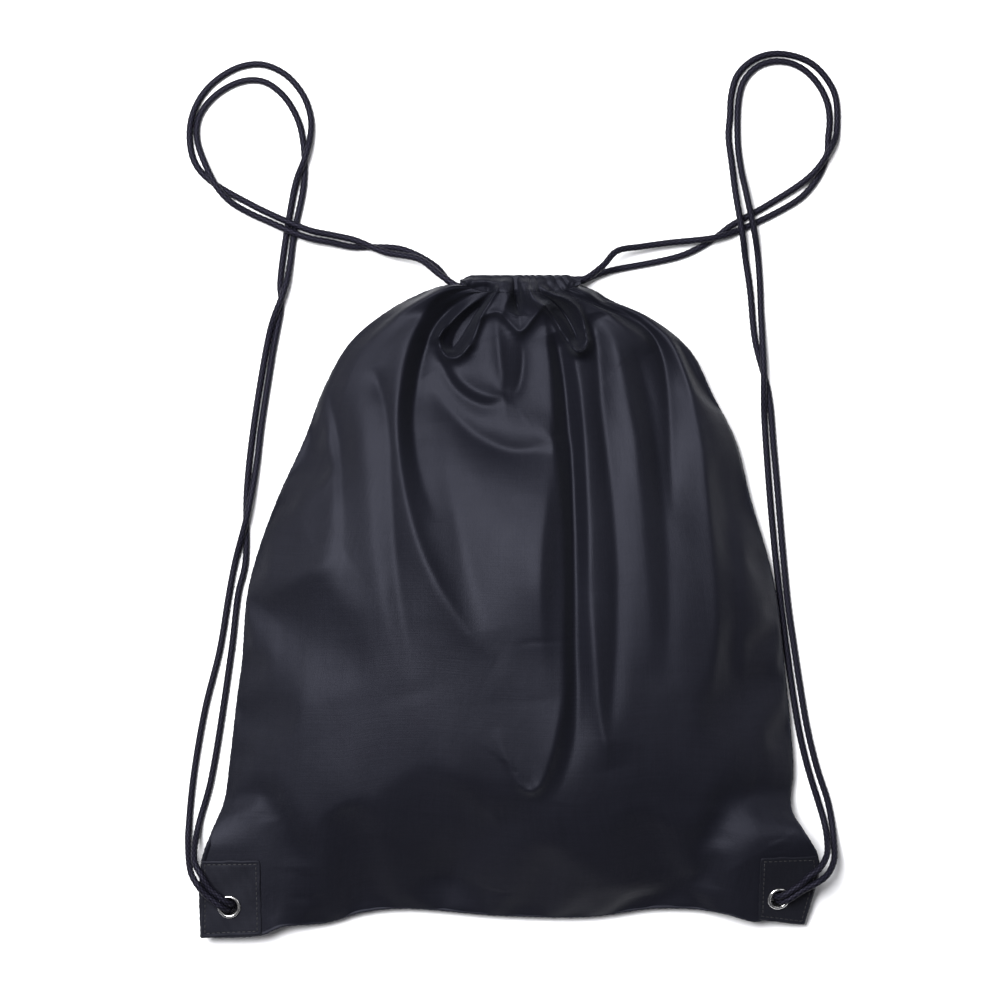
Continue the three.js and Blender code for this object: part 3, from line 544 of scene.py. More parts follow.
# Folds in the front panel: the radius of the fold's crest, its widths at the start and
# at the end (to the left and the right of its direction), and places in plan with the
# fold's height there. A hollow's height is negative.
FOLDS = {
    "left shoulder": (2, (5, 16), (6, 14), [
        (-4, 179.5, 1), (-17.5, 178.5, 4), (-30.5, 175, 6), (-40, 169, 7), (-47.5, 158, 8),
        (-54, 143.5, 9), (-58.5, 124.5, 9), (-61, 102, 8.5), (-60, 81.5, 8), (-55.5, 54.5, 7.5),
        (-49, 32, 6.5), (-39, 10, 5.5), (-27.5, -8.5, 3.6), (-20, -19, 2), (-13, -25.5, 0.8),
        (-6.5, -29, 0)]),
    "hollow beside the left shoulder": (1.6, (5, 4), (12, 5), [
        (-3.5, 176.5, -1), (-14.5, 173.5, -7), (-26, 168.5, -10), (-35.5, 160, -11), (-42.5, 149, -11),
        (-47.5, 134.5, -10), (-50.5, 119, -9), (-52, 102, -7), (-50.5, 82.5, -5), (-46, 63, -3),
        (-38.5, 43.5, 0)]),
    "left lip, outer side": (0.5, (1, 6), (1, 6), [
        (-5.5, 176, 1), (-13, 170.5, 3.5), (-21.5, 164.5, 5), (-29.5, 157.5, 5.5), (-35.5, 150.5, 5.5),
        (-38, 147, 5)]),
    "left lip, round its end": (0.5, (1.2, 2.6), (1.2, 2.6), [
        (-35.5, 152, 4), (-38, 147, 5.5), (-37, 140.5, 6), (-34, 136, 6), (-29.5, 135, 6),
        (-25, 137.5, 5), (-21.5, 142, 4)]),
    "left lip, inner side": (0.8, (1.8, 1.4), (2, 1.6), [
        (-24, 139, 4.5), (-20.5, 143.5, 5.5), (-17, 152, 6.5), (-14.5, 159.5, 6.5), (-11, 166, 6),
        (-6.5, 173.5, 5), (-2, 181, 2)]),
    "left pocket": (0.6, (2.6, 2.6), (3.6, 3.6), [
        (-7, 175, 0), (-13.5, 167, -8), (-21, 158, -13), (-27, 149, -14), (-30.5, 142, -10),
        (-31.5, 138, 0)]),
    "petal": (0.6, (8, 2.4), (8, 2.4), [
        (-15.5, 157, 3.5), (-10, 160, 4.5), (-6, 160.5, 5), (-1.5, 157, 5.5), (3, 152, 6), (6, 150, 6),
        (9, 152, 6), (12.5, 157, 6), (16, 162, 6), (19.5, 165, 5)]),
    "petal hollow": (0.5, (1.5, 1.5), (2.2, 2.2), [
        (3, 181.5, -6), (3.5, 175, -11), (4, 169.5, -12), (5, 164.5, -8), (5.5, 160, -3),
        (6, 155.5, 0)]),
    "petal left facet": (1.6, (1.4, 7), (1.6, 8), [
        (2.5, 182.5, 2), (1, 174, 4.5), (-1.5, 167, 5), (-3.5, 161, 3)]),
    "petal right facet": (1.8, (2.4, 4.5), (2.6, 5), [
        (6.5, 182.5, 2), (9, 176, 5), (12.5, 170.5, 6), (16.5, 165.5, 6), (20.5, 161.5, 5)]),
    "petal floor crease": (0.6, (1.6, 1.6), (1.6, 1.6), [
        (-2.5, 162.5, 0), (1, 160, 1.6), (5.5, 158, 2), (10, 159.5, 0)]),
    "right lip, inner side": (0.5, (4.5, 1.2), (5, 1.4), [
        (17, 164.5, 5), (21.5, 161, 6.5), (25.5, 155.5, 7), (29.5, 148.5, 7), (33.5, 142.5, 6.5),
        (37, 138.5, 5.5)]),
    "right lip, round its end": (0.5, (2.6, 1.2), (2.6, 1.2), [
        (34.5, 141, 5), (38, 138, 6), (41, 139.5, 6), (42.5, 143.5, 5.5), (41.5, 148, 5)]),
    "right lip, outer side": (0.5, (7, 1), (7, 1), [
        (42.5, 145, 5), (41, 151.5, 6.5), (39, 158, 6.5), (35.5, 164, 6.5), (30, 168.5, 6),
        (24, 171, 5), (17, 175, 3)]),
    "right pocket": (0.6, (2.6, 2.6), (3.4, 3.4), [
        (13.5, 175, 0), (21, 168.5, -7), (27.5, 161.5, -11), (32, 155, -12), (36, 147.5, -10),
        (38.5, 142, 0)]),
    "streak in the right pocket": (0.5, (1.2, 1.2), (1.2, 1.2), [
        (24.5, 161, 0), (29, 156, 2.5), (33, 149, 2.5), (35, 145.5, 0)]),
    "hollow under the right shoulder": (1.6, (4, 5), (6, 6), [
        (31.5, 176, 0), (40.5, 171, -6), (50.5, 167, -8), (62, 162.5, -8), (73, 155, -8),
        (80, 146, -8), (84.5, 134.5, -7), (86.5, 119, -5), (87.5, 99.5, -4), (88, 74, -3), (89, 46, 0)]),
    "right shoulder": (2, (10, 5), (12, 9), [
        (36.5, 179.5, 0), (50.5, 174, 3), (66, 166.5, 5), (78.5, 157.5, 6), (89, 145.5, 6),
        (96, 127.5, 5.5), (101, 108, 5), (105, 87.5, 4.5), (108.5, 59, 4), (111, 30, 3.6),
        (113, 1.5, 3.2), (113.5, -26.5, 2.4), (111, -54.5, 0)]),
    "sheet under the right shoulder": (1.2, (4, 10), (4, 10), [
        (24.5, 171.5, 0), (34.5, 169, 3), (44, 164.5, 4), (52, 159, 4), (62, 152.5, 3.5),
        (73, 145.5, 2.5), (78.5, 138.5, 0)]),
    "pendant": (1.4, (5, 5), (3, 3), [
        (-7.5, 158, 2), (-6, 147, 4), (-5, 136, 4), (-3.5, 124.5, 2.5), (-3, 117, 0)]),
    "valley right of the pendant": (1.2, (3, 3), (4, 4), [
        (6.5, 147, 0), (8, 138, -3), (7.5, 128, -4), (5, 118, -3), (-1, 111, 0)]),
    "first arc hollow": (1.5, (4, 5), (4, 6), [
        (-39, 140.5, -2), (-35, 129, -4), (-29.5, 119.5, -4.5), (-22.5, 113, -4), (-13, 109, -3),
        (-2.5, 111, 0)]),
    "first arc": (1.5, (4, 4), (4, 4), [
        (-34, 134, 0), (-28.5, 125, 2.5), (-20, 118, 3), (-9, 114, 2.5), (-1, 115.5, 0)]),
    "second arc hollow": (2.5, (6, 9), (6, 9), [
        (-44.5, 125.5, 0), (-36.5, 112.5, -3), (-25.5, 99, -4.5), (-12, 89, -5), (3, 83.5, -4.5),
        (16, 85.5, -2.5), (23, 91, 0)]),
    "centre fold": (0.9, (4, 10), (4, 10), [
        (16, 162.5, 0), (19.5, 155, 3.5), (21.5, 141, 5), (23, 127.5, 5.5), (24, 105.5, 5.5),
        (24.5, 81.5, 5), (26.5, 63, 4.5), (28.5, 46, 4.5), (29, 24, 4.5), (29, 1.5, 4.5),
        (29, -26.5, 4.5), (29, -49, 4.5), (26, -67, 4.5), (22, -83.5, 4.5), (18, -95, 3.6),
        (14.5, -100.5, 2), (11, -103.5, 0)]),
    "tip of the centre fold": (0.8, (2.4, 3), (2.4, 3), [
        (15, -99, 2), (11, -101.5, 2.6), (6.5, -98.5, 2.6), (1.5, -90.5, 1.8), (-3.5, -79, 1),
        (-7.5, -67, 0)]),
    "centre hollow": (1.6, (4, 4), (6, 7), [
        (24, 149, 0), (27, 140.5, -6), (29.5, 124.5, -9), (31.5, 102, -10), (33.5, 81.5, -10),
        (34.5, 46, -10), (35, 12.5, -9), (35.5, -21, -8), (36, -49, -6.5), (35, -71.5, -4),
        (30, -91, -2), (24, -106, 0)]),
    "ridge beside the centre hollow": (1.2, (9, 4), (12, 4), [
        (33.5, 144, 0), (35.5, 134.5, 4), (38, 122, 5), (40, 102, 5.5), (41, 81.5, 5.5), (42.5, 46, 5),
        (43, 12.5, 4), (44, -21, 3), (45, -49, 1.5), (46, -71.5, 0)]),
    "right narrow fold": (1.2, (9, 3.5), (9, 3.5), [
        (45, 7, 0), (46, -15.5, 2), (47.5, -38, 3.2), (49, -57.5, 3.6), (52, -76, 3), (55, -89.5, 0)]),
    "second hollow": (1.8, (6, 5), (8, 8), [
        (44, 159.5, 0), (46, 147, -5), (48, 130, -6), (49.5, 108, -5.5), (52, 85.5, -5), (55, 59, -4),
        (58, 19, -4), (57.5, -21, -4), (55, -54.5, -3), (54, -74, 0)]),
    "ridge right of it": (2.5, (9, 8), (12, 10), [
        (50.5, 157, 0), (56.5, 142.5, 3.5), (62.5, 122, 4), (67, 96.5, 4), (70.5, 68.5, 3.5),
        (73.5, 35, 3), (76, -4, 2), (76.5, -38, 0)]),
    "valley between the right folds": (2.5, (8, 7), (9, 9), [
        (67.5, 144, 0), (73, 124.5, -3), (78.5, 96.5, -4), (82.5, 63, -4), (85, 29.5, -3.5),
        (86, -10, -2.5), (84.5, -49, 0)]),
    "dome": (7, (4, 20), (4, 22), [
        (23, 82.5, 0), (21.5, 69.5, 3), (19, 54.5, 6), (16.5, 35, 8), (15.5, 10, 8), (15.5, -11, 5),
        (16.5, -29.5, 2), (18, -52, 0)]),
    "hollow left of the dome": (4, (12, 7), (12, 7), [
        (-35.5, 99.5, 0), (-32, 68.5, -2), (-27, 40.5, -3.2), (-21, 12.5, -2.6), (-14.5, -14.5, 0)]),
    "storage crease": (0.5, (0.8, 0.8), (0.8, 0.8), [
        (3.5, -22, 0), (10.5, -20.5, -0.3), (22.5, -20, -0.3), (37, -19.5, 0)]),
    "left crease": (1.6, (7, 4), (10, 6), [
        (-103, 132.5, 0), (-100, 116, -1.8), (-96, 96.5, -2.4), (-92.5, 71.5, -2.4), (-91, 46, -1.8),
        (-91, 24, -1), (-93, -1.5, 0)]),
    "left crease ridge": (2.4, (4, 9), (6, 12), [
        (-108, 129, 0), (-104.5, 112.5, 1.6), (-100.5, 91, 2), (-96.5, 68.5, 1.8), (-95, 40.5, 1.2),
        (-95, 12.5, 0)]),
    "left triangle": (1.8, (4, 5), (8, 8), [
        (-75, 130, 0), (-71, 120, -3.2), (-67.5, 108, -3.2), (-65, 91, -3), (-63.5, 57.5, -3),
        (-62, 26, -2.8), (-59, -1.5, -2.2), (-54.5, -26.5, -1.2), (-49, -54.5, 0)]),
    "ridge left of it": (4, (9, 12), (10, 14), [
        (-82.5, 127, 0), (-80, 99.5, 2.4), (-77, 63, 2.8), (-73.5, 29.5, 3), (-68, -1.5, 2.6),
        (-61.5, -26.5, 1.6), (-54.5, -49, 0)]),
    "left flank": (10, (16, 16), (18, 18), [
        (-114, 96.5, 0), (-119.5, 68.5, 1), (-117.5, 40.5, 0.8), (-111.5, 18, 0)]),
    "fold across the left flank": (4, (10, 8), (10, 8), [
        (-138.5, -2, 0), (-128.5, 8, 2.2), (-115, 16, 3), (-101.5, 20.5, 2.2), (-89.5, 28.5, 0)]),
    "right flank": (6, (10, 10), (12, 12), [
        (115.5, 122, 0), (124, 91, 1.8), (130, 57.5, 2.2), (134, 24, 2.2), (134.5, -10, 1.6),
        (132.5, -49, 0)]),
    "right flank hollow": (4.5, (8, 8), (10, 10), [
        (114.5, 99.5, 0), (119, 63, -2), (122.5, 24, -2.2), (123.5, -21, -1.8), (122, -60, 0)]),
    "hollow in the lower middle": (9, (14, 18), (16, 20), [
        (-5.5, -122, 0), (-24.5, -137.5, -4.5), (-34.5, -153, -7), (-33.5, -169.5, -6),
        (-26.5, -186, 0)]),
    "swell in the lower left": (12, (18, 18), (20, 20), [
        (-100.5, -74, 0), (-88, -99.5, 1.4), (-73.5, -124.5, 2.2), (-69.5, -148.5, 2),
        (-73.5, -172, 0)]),
    "swell in the lower right": (8, (14, 16), (16, 18), [
        (6, -110.5, 0), (26, -131, 2.6), (48.5, -148.5, 4), (71, -163, 3.6), (91, -175.5, 0)]),
    "crease above the right corner": (1.2, (3, 3), (4, 4), [
        (132, -169.5, 0), (136, -155.5, -2), (141.5, -143, -2.2), (150.5, -134, -1.6),
        (160.5, -128.5, 0)]),
    "crease beside the left corner": (1.6, (3.5, 3.5), (4.5, 4.5), [
        (-138.5, -189, 0), (-135, -176.5, -2), (-138.5, -164.5, -2.2), (-146.5, -155.5, -1.6),
        (-155.5, -148.5, 0)]),
}


def beside_patch(side, x, y, margin=0):
    """How far places in plan are from the rectangle round a corner patch."""
    outline, eye = np.array(OUTLINES[side]), np.array(CORNERS[side]["eye"].xy)
    low = outline.min(axis=0) + eye - margin
    high = outline.max(axis=0) + eye + margin
    dx = np.maximum(np.maximum(low[0] - x, x - high[0]), 0)
    dy = np.maximum(np.maximum(low[1] - y, y - high[1]), 0)
    return np.hypot(dx, dy)


def corner_share(side, x, y):
    """How much of a corner's flat plane the cloth follows at places in plan."""
    return 1 - smooth((beside_patch(side, x, y) - PATCH_MARGIN) / PATCH_FALLOFF)


def off_patches(x, y):
    """From 0 on the corner patches to 1 a little way off them."""
    clear = [smooth(beside_patch(side, x, y, margin=1) / PATCH_CLEAR) for side in CORNERS]
    return np.minimum(*clear)


def plane_height(corner, x, y):
    """The height of a corner's plane, which levels off softly towards the top."""
    normal, eye = corner["normal"], corner["eye"]
    height = eye.z - (normal.x * (x - eye.x) + normal.y * (y - eye.y)) / normal.z
    capped = CORNER_TOP + CORNER_BEND * np.tanh((height - CORNER_TOP) / (2 * CORNER_BEND))
    return np.where(height > CORNER_TOP, capped, height)


def seam_surface(u, v):
    """The surface on which both panels meet, stretched over the seam line, as rows from the
    bottom to the mouth. It also says how free the cloth is from the flat corners."""
    left, right = evenly(centripetal(LEFT_SEAM), v), evenly(centripetal(RIGHT_SEAM), v)
    bottom, mouth = evenly(centripetal(BOTTOM_SEAM), u), evenly(centripetal(MOUTH_LINE), u)
    us, vs = u[None, :, None], v[:, None, None]
    point = (left[:, None] * (1 - us) + right[:, None] * us
             + bottom[None] * (1 - vs) + mouth[None] * vs
             - left[0] * (1 - us) * (1 - vs) - right[0] * us * (1 - vs)
             - left[-1] * (1 - us) * vs - right[-1] * us * vs)
    free = np.ones(point.shape[:2])
    x, y = point[..., 0], point[..., 1]
    for side, corner in CORNERS.items():
        share = corner_share(side, x, y)
        point[..., 2] = lerp(point[..., 2], plane_height(corner, x, y), share)
        free = np.minimum(free, 1 - share)
    return point, free


FOLD_STEP = 1.2  # between the places at which a fold's line is sampled
CHUNK = 20000  # places worked out at a time, to save memory


def fold_height(x, y, crest, start, end, places):
    """What one fold adds to the height at places in plan."""
    line = centripetal(places, 12)
    count = int(line_length(line[:, :2]) / FOLD_STEP) + 8
    line = evenly(line, np.linspace(0, 1, count))
    tangent = np.gradient(line[:, :2], axis=0)
    tangent /= np.linalg.norm(tangent, axis=1)[:, None] + 1e-9
    shares = np.linspace(0, 1, count)
    reach = 5 * max(*start, *end) + crest
    low, high = line[:, :2].min(axis=0) - reach, line[:, :2].max(axis=0) + reach
    near = (x > low[0]) & (x < high[0]) & (y > low[1]) & (y < high[1])
    added = np.zeros_like(x)
    if not near.any():
        return added
    p = np.stack([x[near], y[near]], axis=1)
    closest = np.empty(len(p), int)
    for chunk in range(0, len(p), CHUNK):
        part = p[chunk:chunk + CHUNK]
        gap = ((part[:, None] - line[None, :, :2]) ** 2).sum(axis=2)
        closest[chunk:chunk + CHUNK] = gap.argmin(axis=1)
    share, length = shares[closest], line_length(line[:, :2])

    def at(values):
        return np.stack([np.interp(share, shares, values[:, k]) for k in range(2)], axis=1)

    for _ in range(3):  # from the nearest sample to the nearest place between samples
        ahead = ((p - at(line)) * at(tangent)).sum(axis=1)
        share = np.clip(share + ahead / length, shares[np.maximum(closest - 1, 0)],
                        shares[np.minimum(closest + 1, count - 1)])
    offset, t = p - at(line), at(tangent)
    beside = t[:, 0] * offset[:, 1] - t[:, 1] * offset[:, 0]
    distance = np.linalg.norm(offset, axis=1)
    left_part = (1 + beside / (distance + 0.5)) / 2
    width = lerp(lerp(start[1], end[1], share), lerp(start[0], end[0], share), smooth(left_part))
    fade = 1 - smooth((distance / reach - 0.6) / 0.4)
    height = np.interp(share, shares, line[:, 2])
    added[near] = height * fade * np.exp(-(np.hypot(distance, crest) - crest) / width)
    return added


GATHERS = 11
SHALLOW_FROM, SHALLOW_OVER, SHALLOW = 163, 10, 0.8  # where and how much hollows get shallower


def gathers(share):
    """Rounded, uneven pleats with sharp valleys, from 0 to 1, at shares of the mouth."""
    phase = GATHERS * (share + 0.04 * np.sin(8 * share + 1) + 0.018 * np.sin(21 * share))
    return np.abs(np.cos(math.pi * phase))


def folds_at(x, y):
    """All the folds together. Over the cords at the mouth the cloth can't sink far."""
    added = sum(fold_height(x, y, *fold) for fold in FOLDS.values())
    depth = 1 - SHALLOW * smooth((y - SHALLOW_FROM) / SHALLOW_OVER)
    return np.where(added < 0, added * depth, added)


def front_surface(u, v):
    """The front panel: the sack's fullness, its climb over the cords, its folds and pleats."""
    point, free = seam_surface(u, v)
    x, y = point[..., 0], point[..., 1]
    us, vs = u[None, :], v[:, None]
    roundness = 2 * np.sqrt(np.maximum(us * (1 - us), 0))
    bottom_round = 1 - (1 - np.minimum(vs / BOTTOM_ROUND, 1)) ** BOTTOM_POWER
    height = lerp(PUFF, MOUTH_PUFF, smooth((vs - FULL_UP_TO) / (1 - FULL_UP_TO)))
    rise = height * roundness ** SIDE_POWER * bottom_round * free
    width = np.linalg.norm(point[:, -1] - point[:, 0], axis=1)[:, None]
    sides = smooth(np.minimum(us, 1 - us) * width / (5 + 9 * smooth((1 - vs) / 0.12)))
    climb = np.maximum(HEM_TOP - point[..., 2] - rise, 0) * smooth((y - HEM_FROM) / HEM_CLIMB)
    pleats = PLEAT_HEIGHT * (gathers(us) - 0.5) * np.exp(-(1 - vs) / PLEAT_REACH)
    point[..., 2] += rise + PANEL_GAP + climb * sides
    folds = folds_at(x, y) * smooth(vs / 0.05) * off_patches(x, y)
    point[..., 2] += np.maximum((folds + pleats) * sides, -rise * 0.8 - 0.3)
    return point


def back_surface(u, v):
    """The back panel, which sinks from the seams to the floor."""
    point, free = seam_surface(u, v)
    us, vs = u[None, :], v[:, None]
    roundness = 2 * np.sqrt(np.maximum(us * (1 - us), 0))
    sink = (smooth(roundness / BACK_SIDES) * smooth(vs / BACK_BOTTOM)
            * (1 - MOUTH_STAYS * smooth((vs - 0.9) / 0.1)) * free)
    point[..., 2] = np.maximum((point[..., 2] - PANEL_GAP) * (1 - sink), BACK_LIFT)
    return point


def denser_at_ends(count, power):
    """Shares from 0 to 1 whose steps are shorter near both ends, the more so the power."""
    t = np.linspace(0, 1, count + 1)
    return lerp(t, (1 - np.cos(math.pi * t)) / 2, power)


def eyelet_hole(points, faces):
    """Drops the faces that an eyelet's barrel goes through."""
    middle = points[faces].mean(axis=1)
    keep = np.ones(len(faces), bool)
    for corner in CORNERS.values():
        offset = middle - np.array(corner["eye"])
        normal = np.array(corner["normal"])
        off_axis = offset - np.outer(offset @ normal, normal)
        keep &= np.linalg.norm(off_axis, axis=1) > HOLE_RADIUS
    return faces[keep]


def cubic_weights(fine, coarse):
    """A matrix that spreads values at coarse + 1 even steps smoothly over fine + 1 steps."""
    at = np.linspace(0, coarse, fine + 1)
    first = np.minimum(np.floor(at).astype(int), coarse - 1)
    t = at - first
    weights = np.zeros((fine + 1, coarse + 1))
    shares = [(-t + 2 * t ** 2 - t ** 3) / 2, (2 - 5 * t ** 2 + 3 * t ** 3) / 2,
              (t + 4 * t ** 2 - 3 * t ** 3) / 2, (-t ** 2 + t ** 3) / 2]
    for step, share in enumerate(shares):
        np.add.at(weights, (np.arange(fine + 1), np.clip(first + step - 1, 0, coarse)), share)
    return weights


COARSE = (90, 104)  # cells of the simulated panel
SETTLE_FRAMES = 22
CLOTH_SETTINGS = {
    "quality": 6, "mass": 0.0003, "air_damping": 2.0, "pin_stiffness": 1.0,
    "tension_stiffness": 30, "compression_stiffness": 30, "shear_stiffness": 12,
    "bending_stiffness": 30, "tension_damping": 8, "compression_damping": 8,
    "shear_damping": 8, "bending_damping": 1.5, "use_pressure": True,
    "uniform_pressure_force": 0.15,
}
EXTRA_CLOTH = 0.012  # how much longer the cloth is than its shape
MOST_MOVED = 3.0
BLURS = 2


def simulated(cloth, held):
    """The cloth's places after the simulation, with some of its points held."""
    group = cloth.vertex_groups.new(name="held")
    for index, weight in enumerate(held.ravel()):
        if weight > 0.001:
            group.add([index], float(weight), "REPLACE")
    modifier = cloth.modifiers.new("cloth", "CLOTH")
    for key, value in CLOTH_SETTINGS.items():
        setattr(modifier.settings, key, value)
    modifier.settings.vertex_group_mass = "held"
    modifier.settings.shrink_min = modifier.settings.shrink_max = -EXTRA_CLOTH
    modifier.settings.effector_weights.gravity = 0
    modifier.collision_settings.use_collision = False
    scene = bpy.context.scene
    scene.frame_start, scene.frame_end = 1, SETTLE_FRAMES
    modifier.point_cache.frame_start, modifier.point_cache.frame_end = 1, SETTLE_FRAMES
    for step in range(1, SETTLE_FRAMES + 1):
        scene.frame_set(step)
    settled = cloth.evaluated_get(bpy.context.evaluated_depsgraph_get())
    places = np.zeros(held.size * 3, np.float32)
    settled.data.vertices.foreach_get("co", places)
    scene.frame_set(1)
    return places


def settle(points, free):
    """Cloth simulation of a panel: the held edges stay, and the cloth, which is a little
    longer than its shape, finds its own creases. Gives how far each point moved."""
    rows, columns = points.shape[:2]
    material = bpy.data.materials.new("settling")
    cloth = new_object("settling", points.reshape(-1, 3) * MM, grid_faces(rows, columns), material)
    held = np.zeros((rows, columns))
    held[[0, -1]] = 1
    held[:, [0, -1]] = 1
    held = np.maximum(held, smooth((0.75 - free) / 0.5))
    places = simulated(cloth, held)
    moved = places.reshape(rows, columns, 3) / MM - points
    bpy.data.objects.remove(cloth)
    length = np.linalg.norm(moved, axis=2, keepdims=True)
    moved *= np.minimum(1, MOST_MOVED / np.maximum(length, 1e-6))
    for _ in range(BLURS):
        padded = np.pad(moved, ((1, 1), (1, 1), (0, 0)), "edge")
        moved = (padded[:-2, 1:-1] + padded[2:, 1:-1] + padded[1:-1, :-2] + padded[1:-1, 2:]
                 + 4 * padded[1:-1, 1:-1]) / 8
    return moved


def panel_shares(cells):
    return denser_at_ends(cells[0], 0.8), denser_at_ends(cells[1], 0.4)


def add_panel(name, surface, flip):
    """A panel of the sack. The front one also settles in a short cloth simulation."""
    u, v = panel_shares(FINE)
    grid = surface(u, v)
    if not flip:
        coarse_u, coarse_v = panel_shares(COARSE)
        moved = settle(surface(coarse_u, coarse_v), seam_surface(coarse_u, coarse_v)[1])
        over_u, over_v = cubic_weights(FINE[0], COARSE[0]), cubic_weights(FINE[1], COARSE[1])
        grid = grid + np.einsum("ij,jlk,ml->imk", over_v, moved, over_u)
    points = grid.reshape(-1, 3)
    faces = eyelet_hole(points, grid_faces(len(v), len(u), flip=flip))
    uvs = grid_uvs(u * FLAT_SACK[0], v * FLAT_SACK[1])
    panel = new_object(name, points * MM, faces, CLOTH, uvs)
    thicken(panel, CLOTH_THICKNESS)
    return panel


CLOTH = cloth_material("sack_cloth", (0.0030, 0.0031, 0.0052, 1), (0.0058, 0.0060, 0.0096, 1),
                       0.50, 0.15)
front = add_panel("front_cloth", front_surface, False)
back = add_panel("back_cloth", back_surface, True)
for panel, node in ((front, "front_panel"), (back, "back_panel")):
    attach(panel, "bag")
    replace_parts(panel, node)

# ---------------------------------------------------------------- casings and seams
CASING_HEIGHTS = {"front_casing": 20.5, "rear_casing": 5.2}
LANES = {"left": 176.0, "right": 180.0}  # where each side's cord runs through the casings
EXITS = {"left": -25.5, "right": 38.0}
TURN_AT = {"left": 22.1, "right": -10.1}  # where each cord turns back at the far side
TURN_HOLE_AT = {"left": 37.5, "right": -25.5}  # the hem's end, where its turn has room
TURN_ZONE = 20.5  # how far that room reaches along the hem
TURN_HALF_WIDTH = 2.8
TURN_STEPS = 12
HEM_OUTLINE = 182.4  # the hem's far side, in plan
HEM_TAPER = 2.6  # how much lower its outline is at its ends
HEM_FAN = 0.02  # how much its pleats spread out from the middle
CORD_COVER = 2.15  # from the middle of the cords to the cloth over them
CORDS_FROM, CORDS_UP_TO = 172.4, 9.5  # in plan, and past the panel's edge
HEM_ROWS = 61
HEM_STRIP = 0.034  # how much cloth the hem takes, in metres
HEM_FOLD_MOST = 4.5  # the folds run on into the hem up to this height
SEAM_STEPS = 420
SEAM_ROLL = 1.25  # how thick the turned edge of a seam is, from its middle
SEAM_OVER = 2.2  # how far it reaches in over the cloth


def hem_section(up):
    """Half of a hem's section, from the panel's edge over the cords and round their far
    side: distances past the panel's edge and heights over the casing's middle."""
    top = 2.35 * up
    return [(0, top), (3, top + 0.35 * up), (6.5, top + 0.1 * up), (9.2, 1.5 * up),
            (10.05, 0), (9.4, -1.6 * up), (7.2, -2.5 * up), (3.5, -2.6 * up), (0.4, -2.3 * up),
            (-0.7, -0.6 * up)]


def add_hem(name, middle_z, up):
    """The gathered hem round both cords, as more of the panel's own cloth."""
    u = denser_at_ends(FINE[0], 0.8)
    edge = (front_surface if up > 0 else back_surface)(u, np.array([1.0]))[0]
    section = evenly(centripetal(hem_section(up)), np.linspace(0, 1, HEM_ROWS))
    past, over = section[:, 0][:, None], section[:, 1][:, None]
    from_end = np.minimum(edge[:, 0] - edge[0, 0], edge[-1, 0] - edge[:, 0])
    outline = HEM_OUTLINE - HEM_TAPER * (1 - smooth(from_end / 9)) ** 2
    depth = (outline - edge[None, :, 1]) / section[:, 0].max()
    x = np.repeat(edge[None, :, 0], len(section), axis=0)
    y = edge[None, :, 1] + past * depth
    ends = smooth(np.minimum(u, 1 - u) / 0.06)[None]
    near_edge = np.exp(-(np.linspace(0, HEM_ROWS, HEM_ROWS) / 8) ** 2)[:, None]
    outer = smooth((over * up + 1.0) / 2.5)
    fanned = gathers(u[None] + HEM_FAN * past * (u[None] - 0.42))
    pleats = (fanned - 0.5) * (0.8 + 0.3 * outer) * (0.55 + 0.45 * np.sin(23 * u[None]) ** 2)
    pleats = pleats * lerp(0.35, 1.0, smooth((x + 6) / 22))
    raised = pleats * 0.9
    if up > 0:
        folds = HEM_FOLD_MOST * np.tanh(folds_at(x, y) / HEM_FOLD_MOST)
        raised = folds * ends * outer * smooth((9.8 - past) / 4.5) + raised
    z = middle_z + over + raised * np.where(over * up > 0, 1, np.sign(over))
    y = y + pleats * 0.55 * smooth((past - 5) / 4)
    join = edge[None, :, 2] - z[:1]
    z = z + join * near_edge
    if up > 0:
        over_cords = smooth((y - CORDS_FROM) / 2.2) * smooth(over * 2) * (past < CORDS_UP_TO)
        z = lerp(z, np.maximum(z, middle_z + CORD_COVER + 0.3 * pleats), over_cords)
    z[0], y[0] = edge[:, 2], edge[:, 1]
    points = np.stack([x, y, np.maximum(z, 0.4)], axis=2).reshape(-1, 3)
    faces = grid_faces(len(section), len(u), flip=up < 0)
    faces = turning_hole(points, faces, middle_z, up)
    uvs = grid_uvs(u * FLAT_SACK[0], np.linspace(0, HEM_STRIP, HEM_ROWS) + FLAT_SACK[1])
    hem = new_object(name.replace("casing", "hem"), points * MM, faces, CLOTH, uvs)
    thicken(hem, CLOTH_THICKNESS)
    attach(hem, "bag")
    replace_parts(hem, name)


def turning_hole(points, faces, middle_z, up):
    """Drops the faces through which a cord turns from one hem into the other."""
    middle = points[faces].mean(axis=1)
    open_here = np.zeros(len(faces), bool)
    inner = (middle[:, 2] - middle_z) * up < -0.9
    for side, lane in LANES.items():
        open_here |= (inner & (np.abs(middle[:, 0] - TURN_HOLE_AT[side]) < TURN_ZONE)
                      & (np.abs(middle[:, 1] - lane) < TURN_HALF_WIDTH))
    return faces[~open_here]


def add_cord_run(side):
    """The cord inside the casings: in through the front one, round, and back."""
    out = -1 if side == "left" else 1
    lane, begin = LANES[side], EXITS[side] - out * INTO_CASING
    turn_x, top, low = TURN_AT[side], CASING_HEIGHTS["front_casing"], CASING_HEIGHTS["rear_casing"]
    radius = (top - low) / 2
    points = [(begin, lane, top), (lerp(begin, turn_x, 0.5), lane, top)]
    for step in range(TURN_STEPS + 1):
        angle = math.pi / 2 - math.pi * step / TURN_STEPS
        points.append((turn_x - out * radius * math.cos(angle), lane,
                       (top + low) / 2 + radius * math.sin(angle)))
    points += [(lerp(begin, turn_x, 0.5), lane, low), (begin, lane, low)]
    run = add_cord(side + "_cord_in_hem", centripetal(points) * MM, RUN_RINGS)
    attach(run, side + "_cord")
    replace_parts(run, side + "_cord_run")


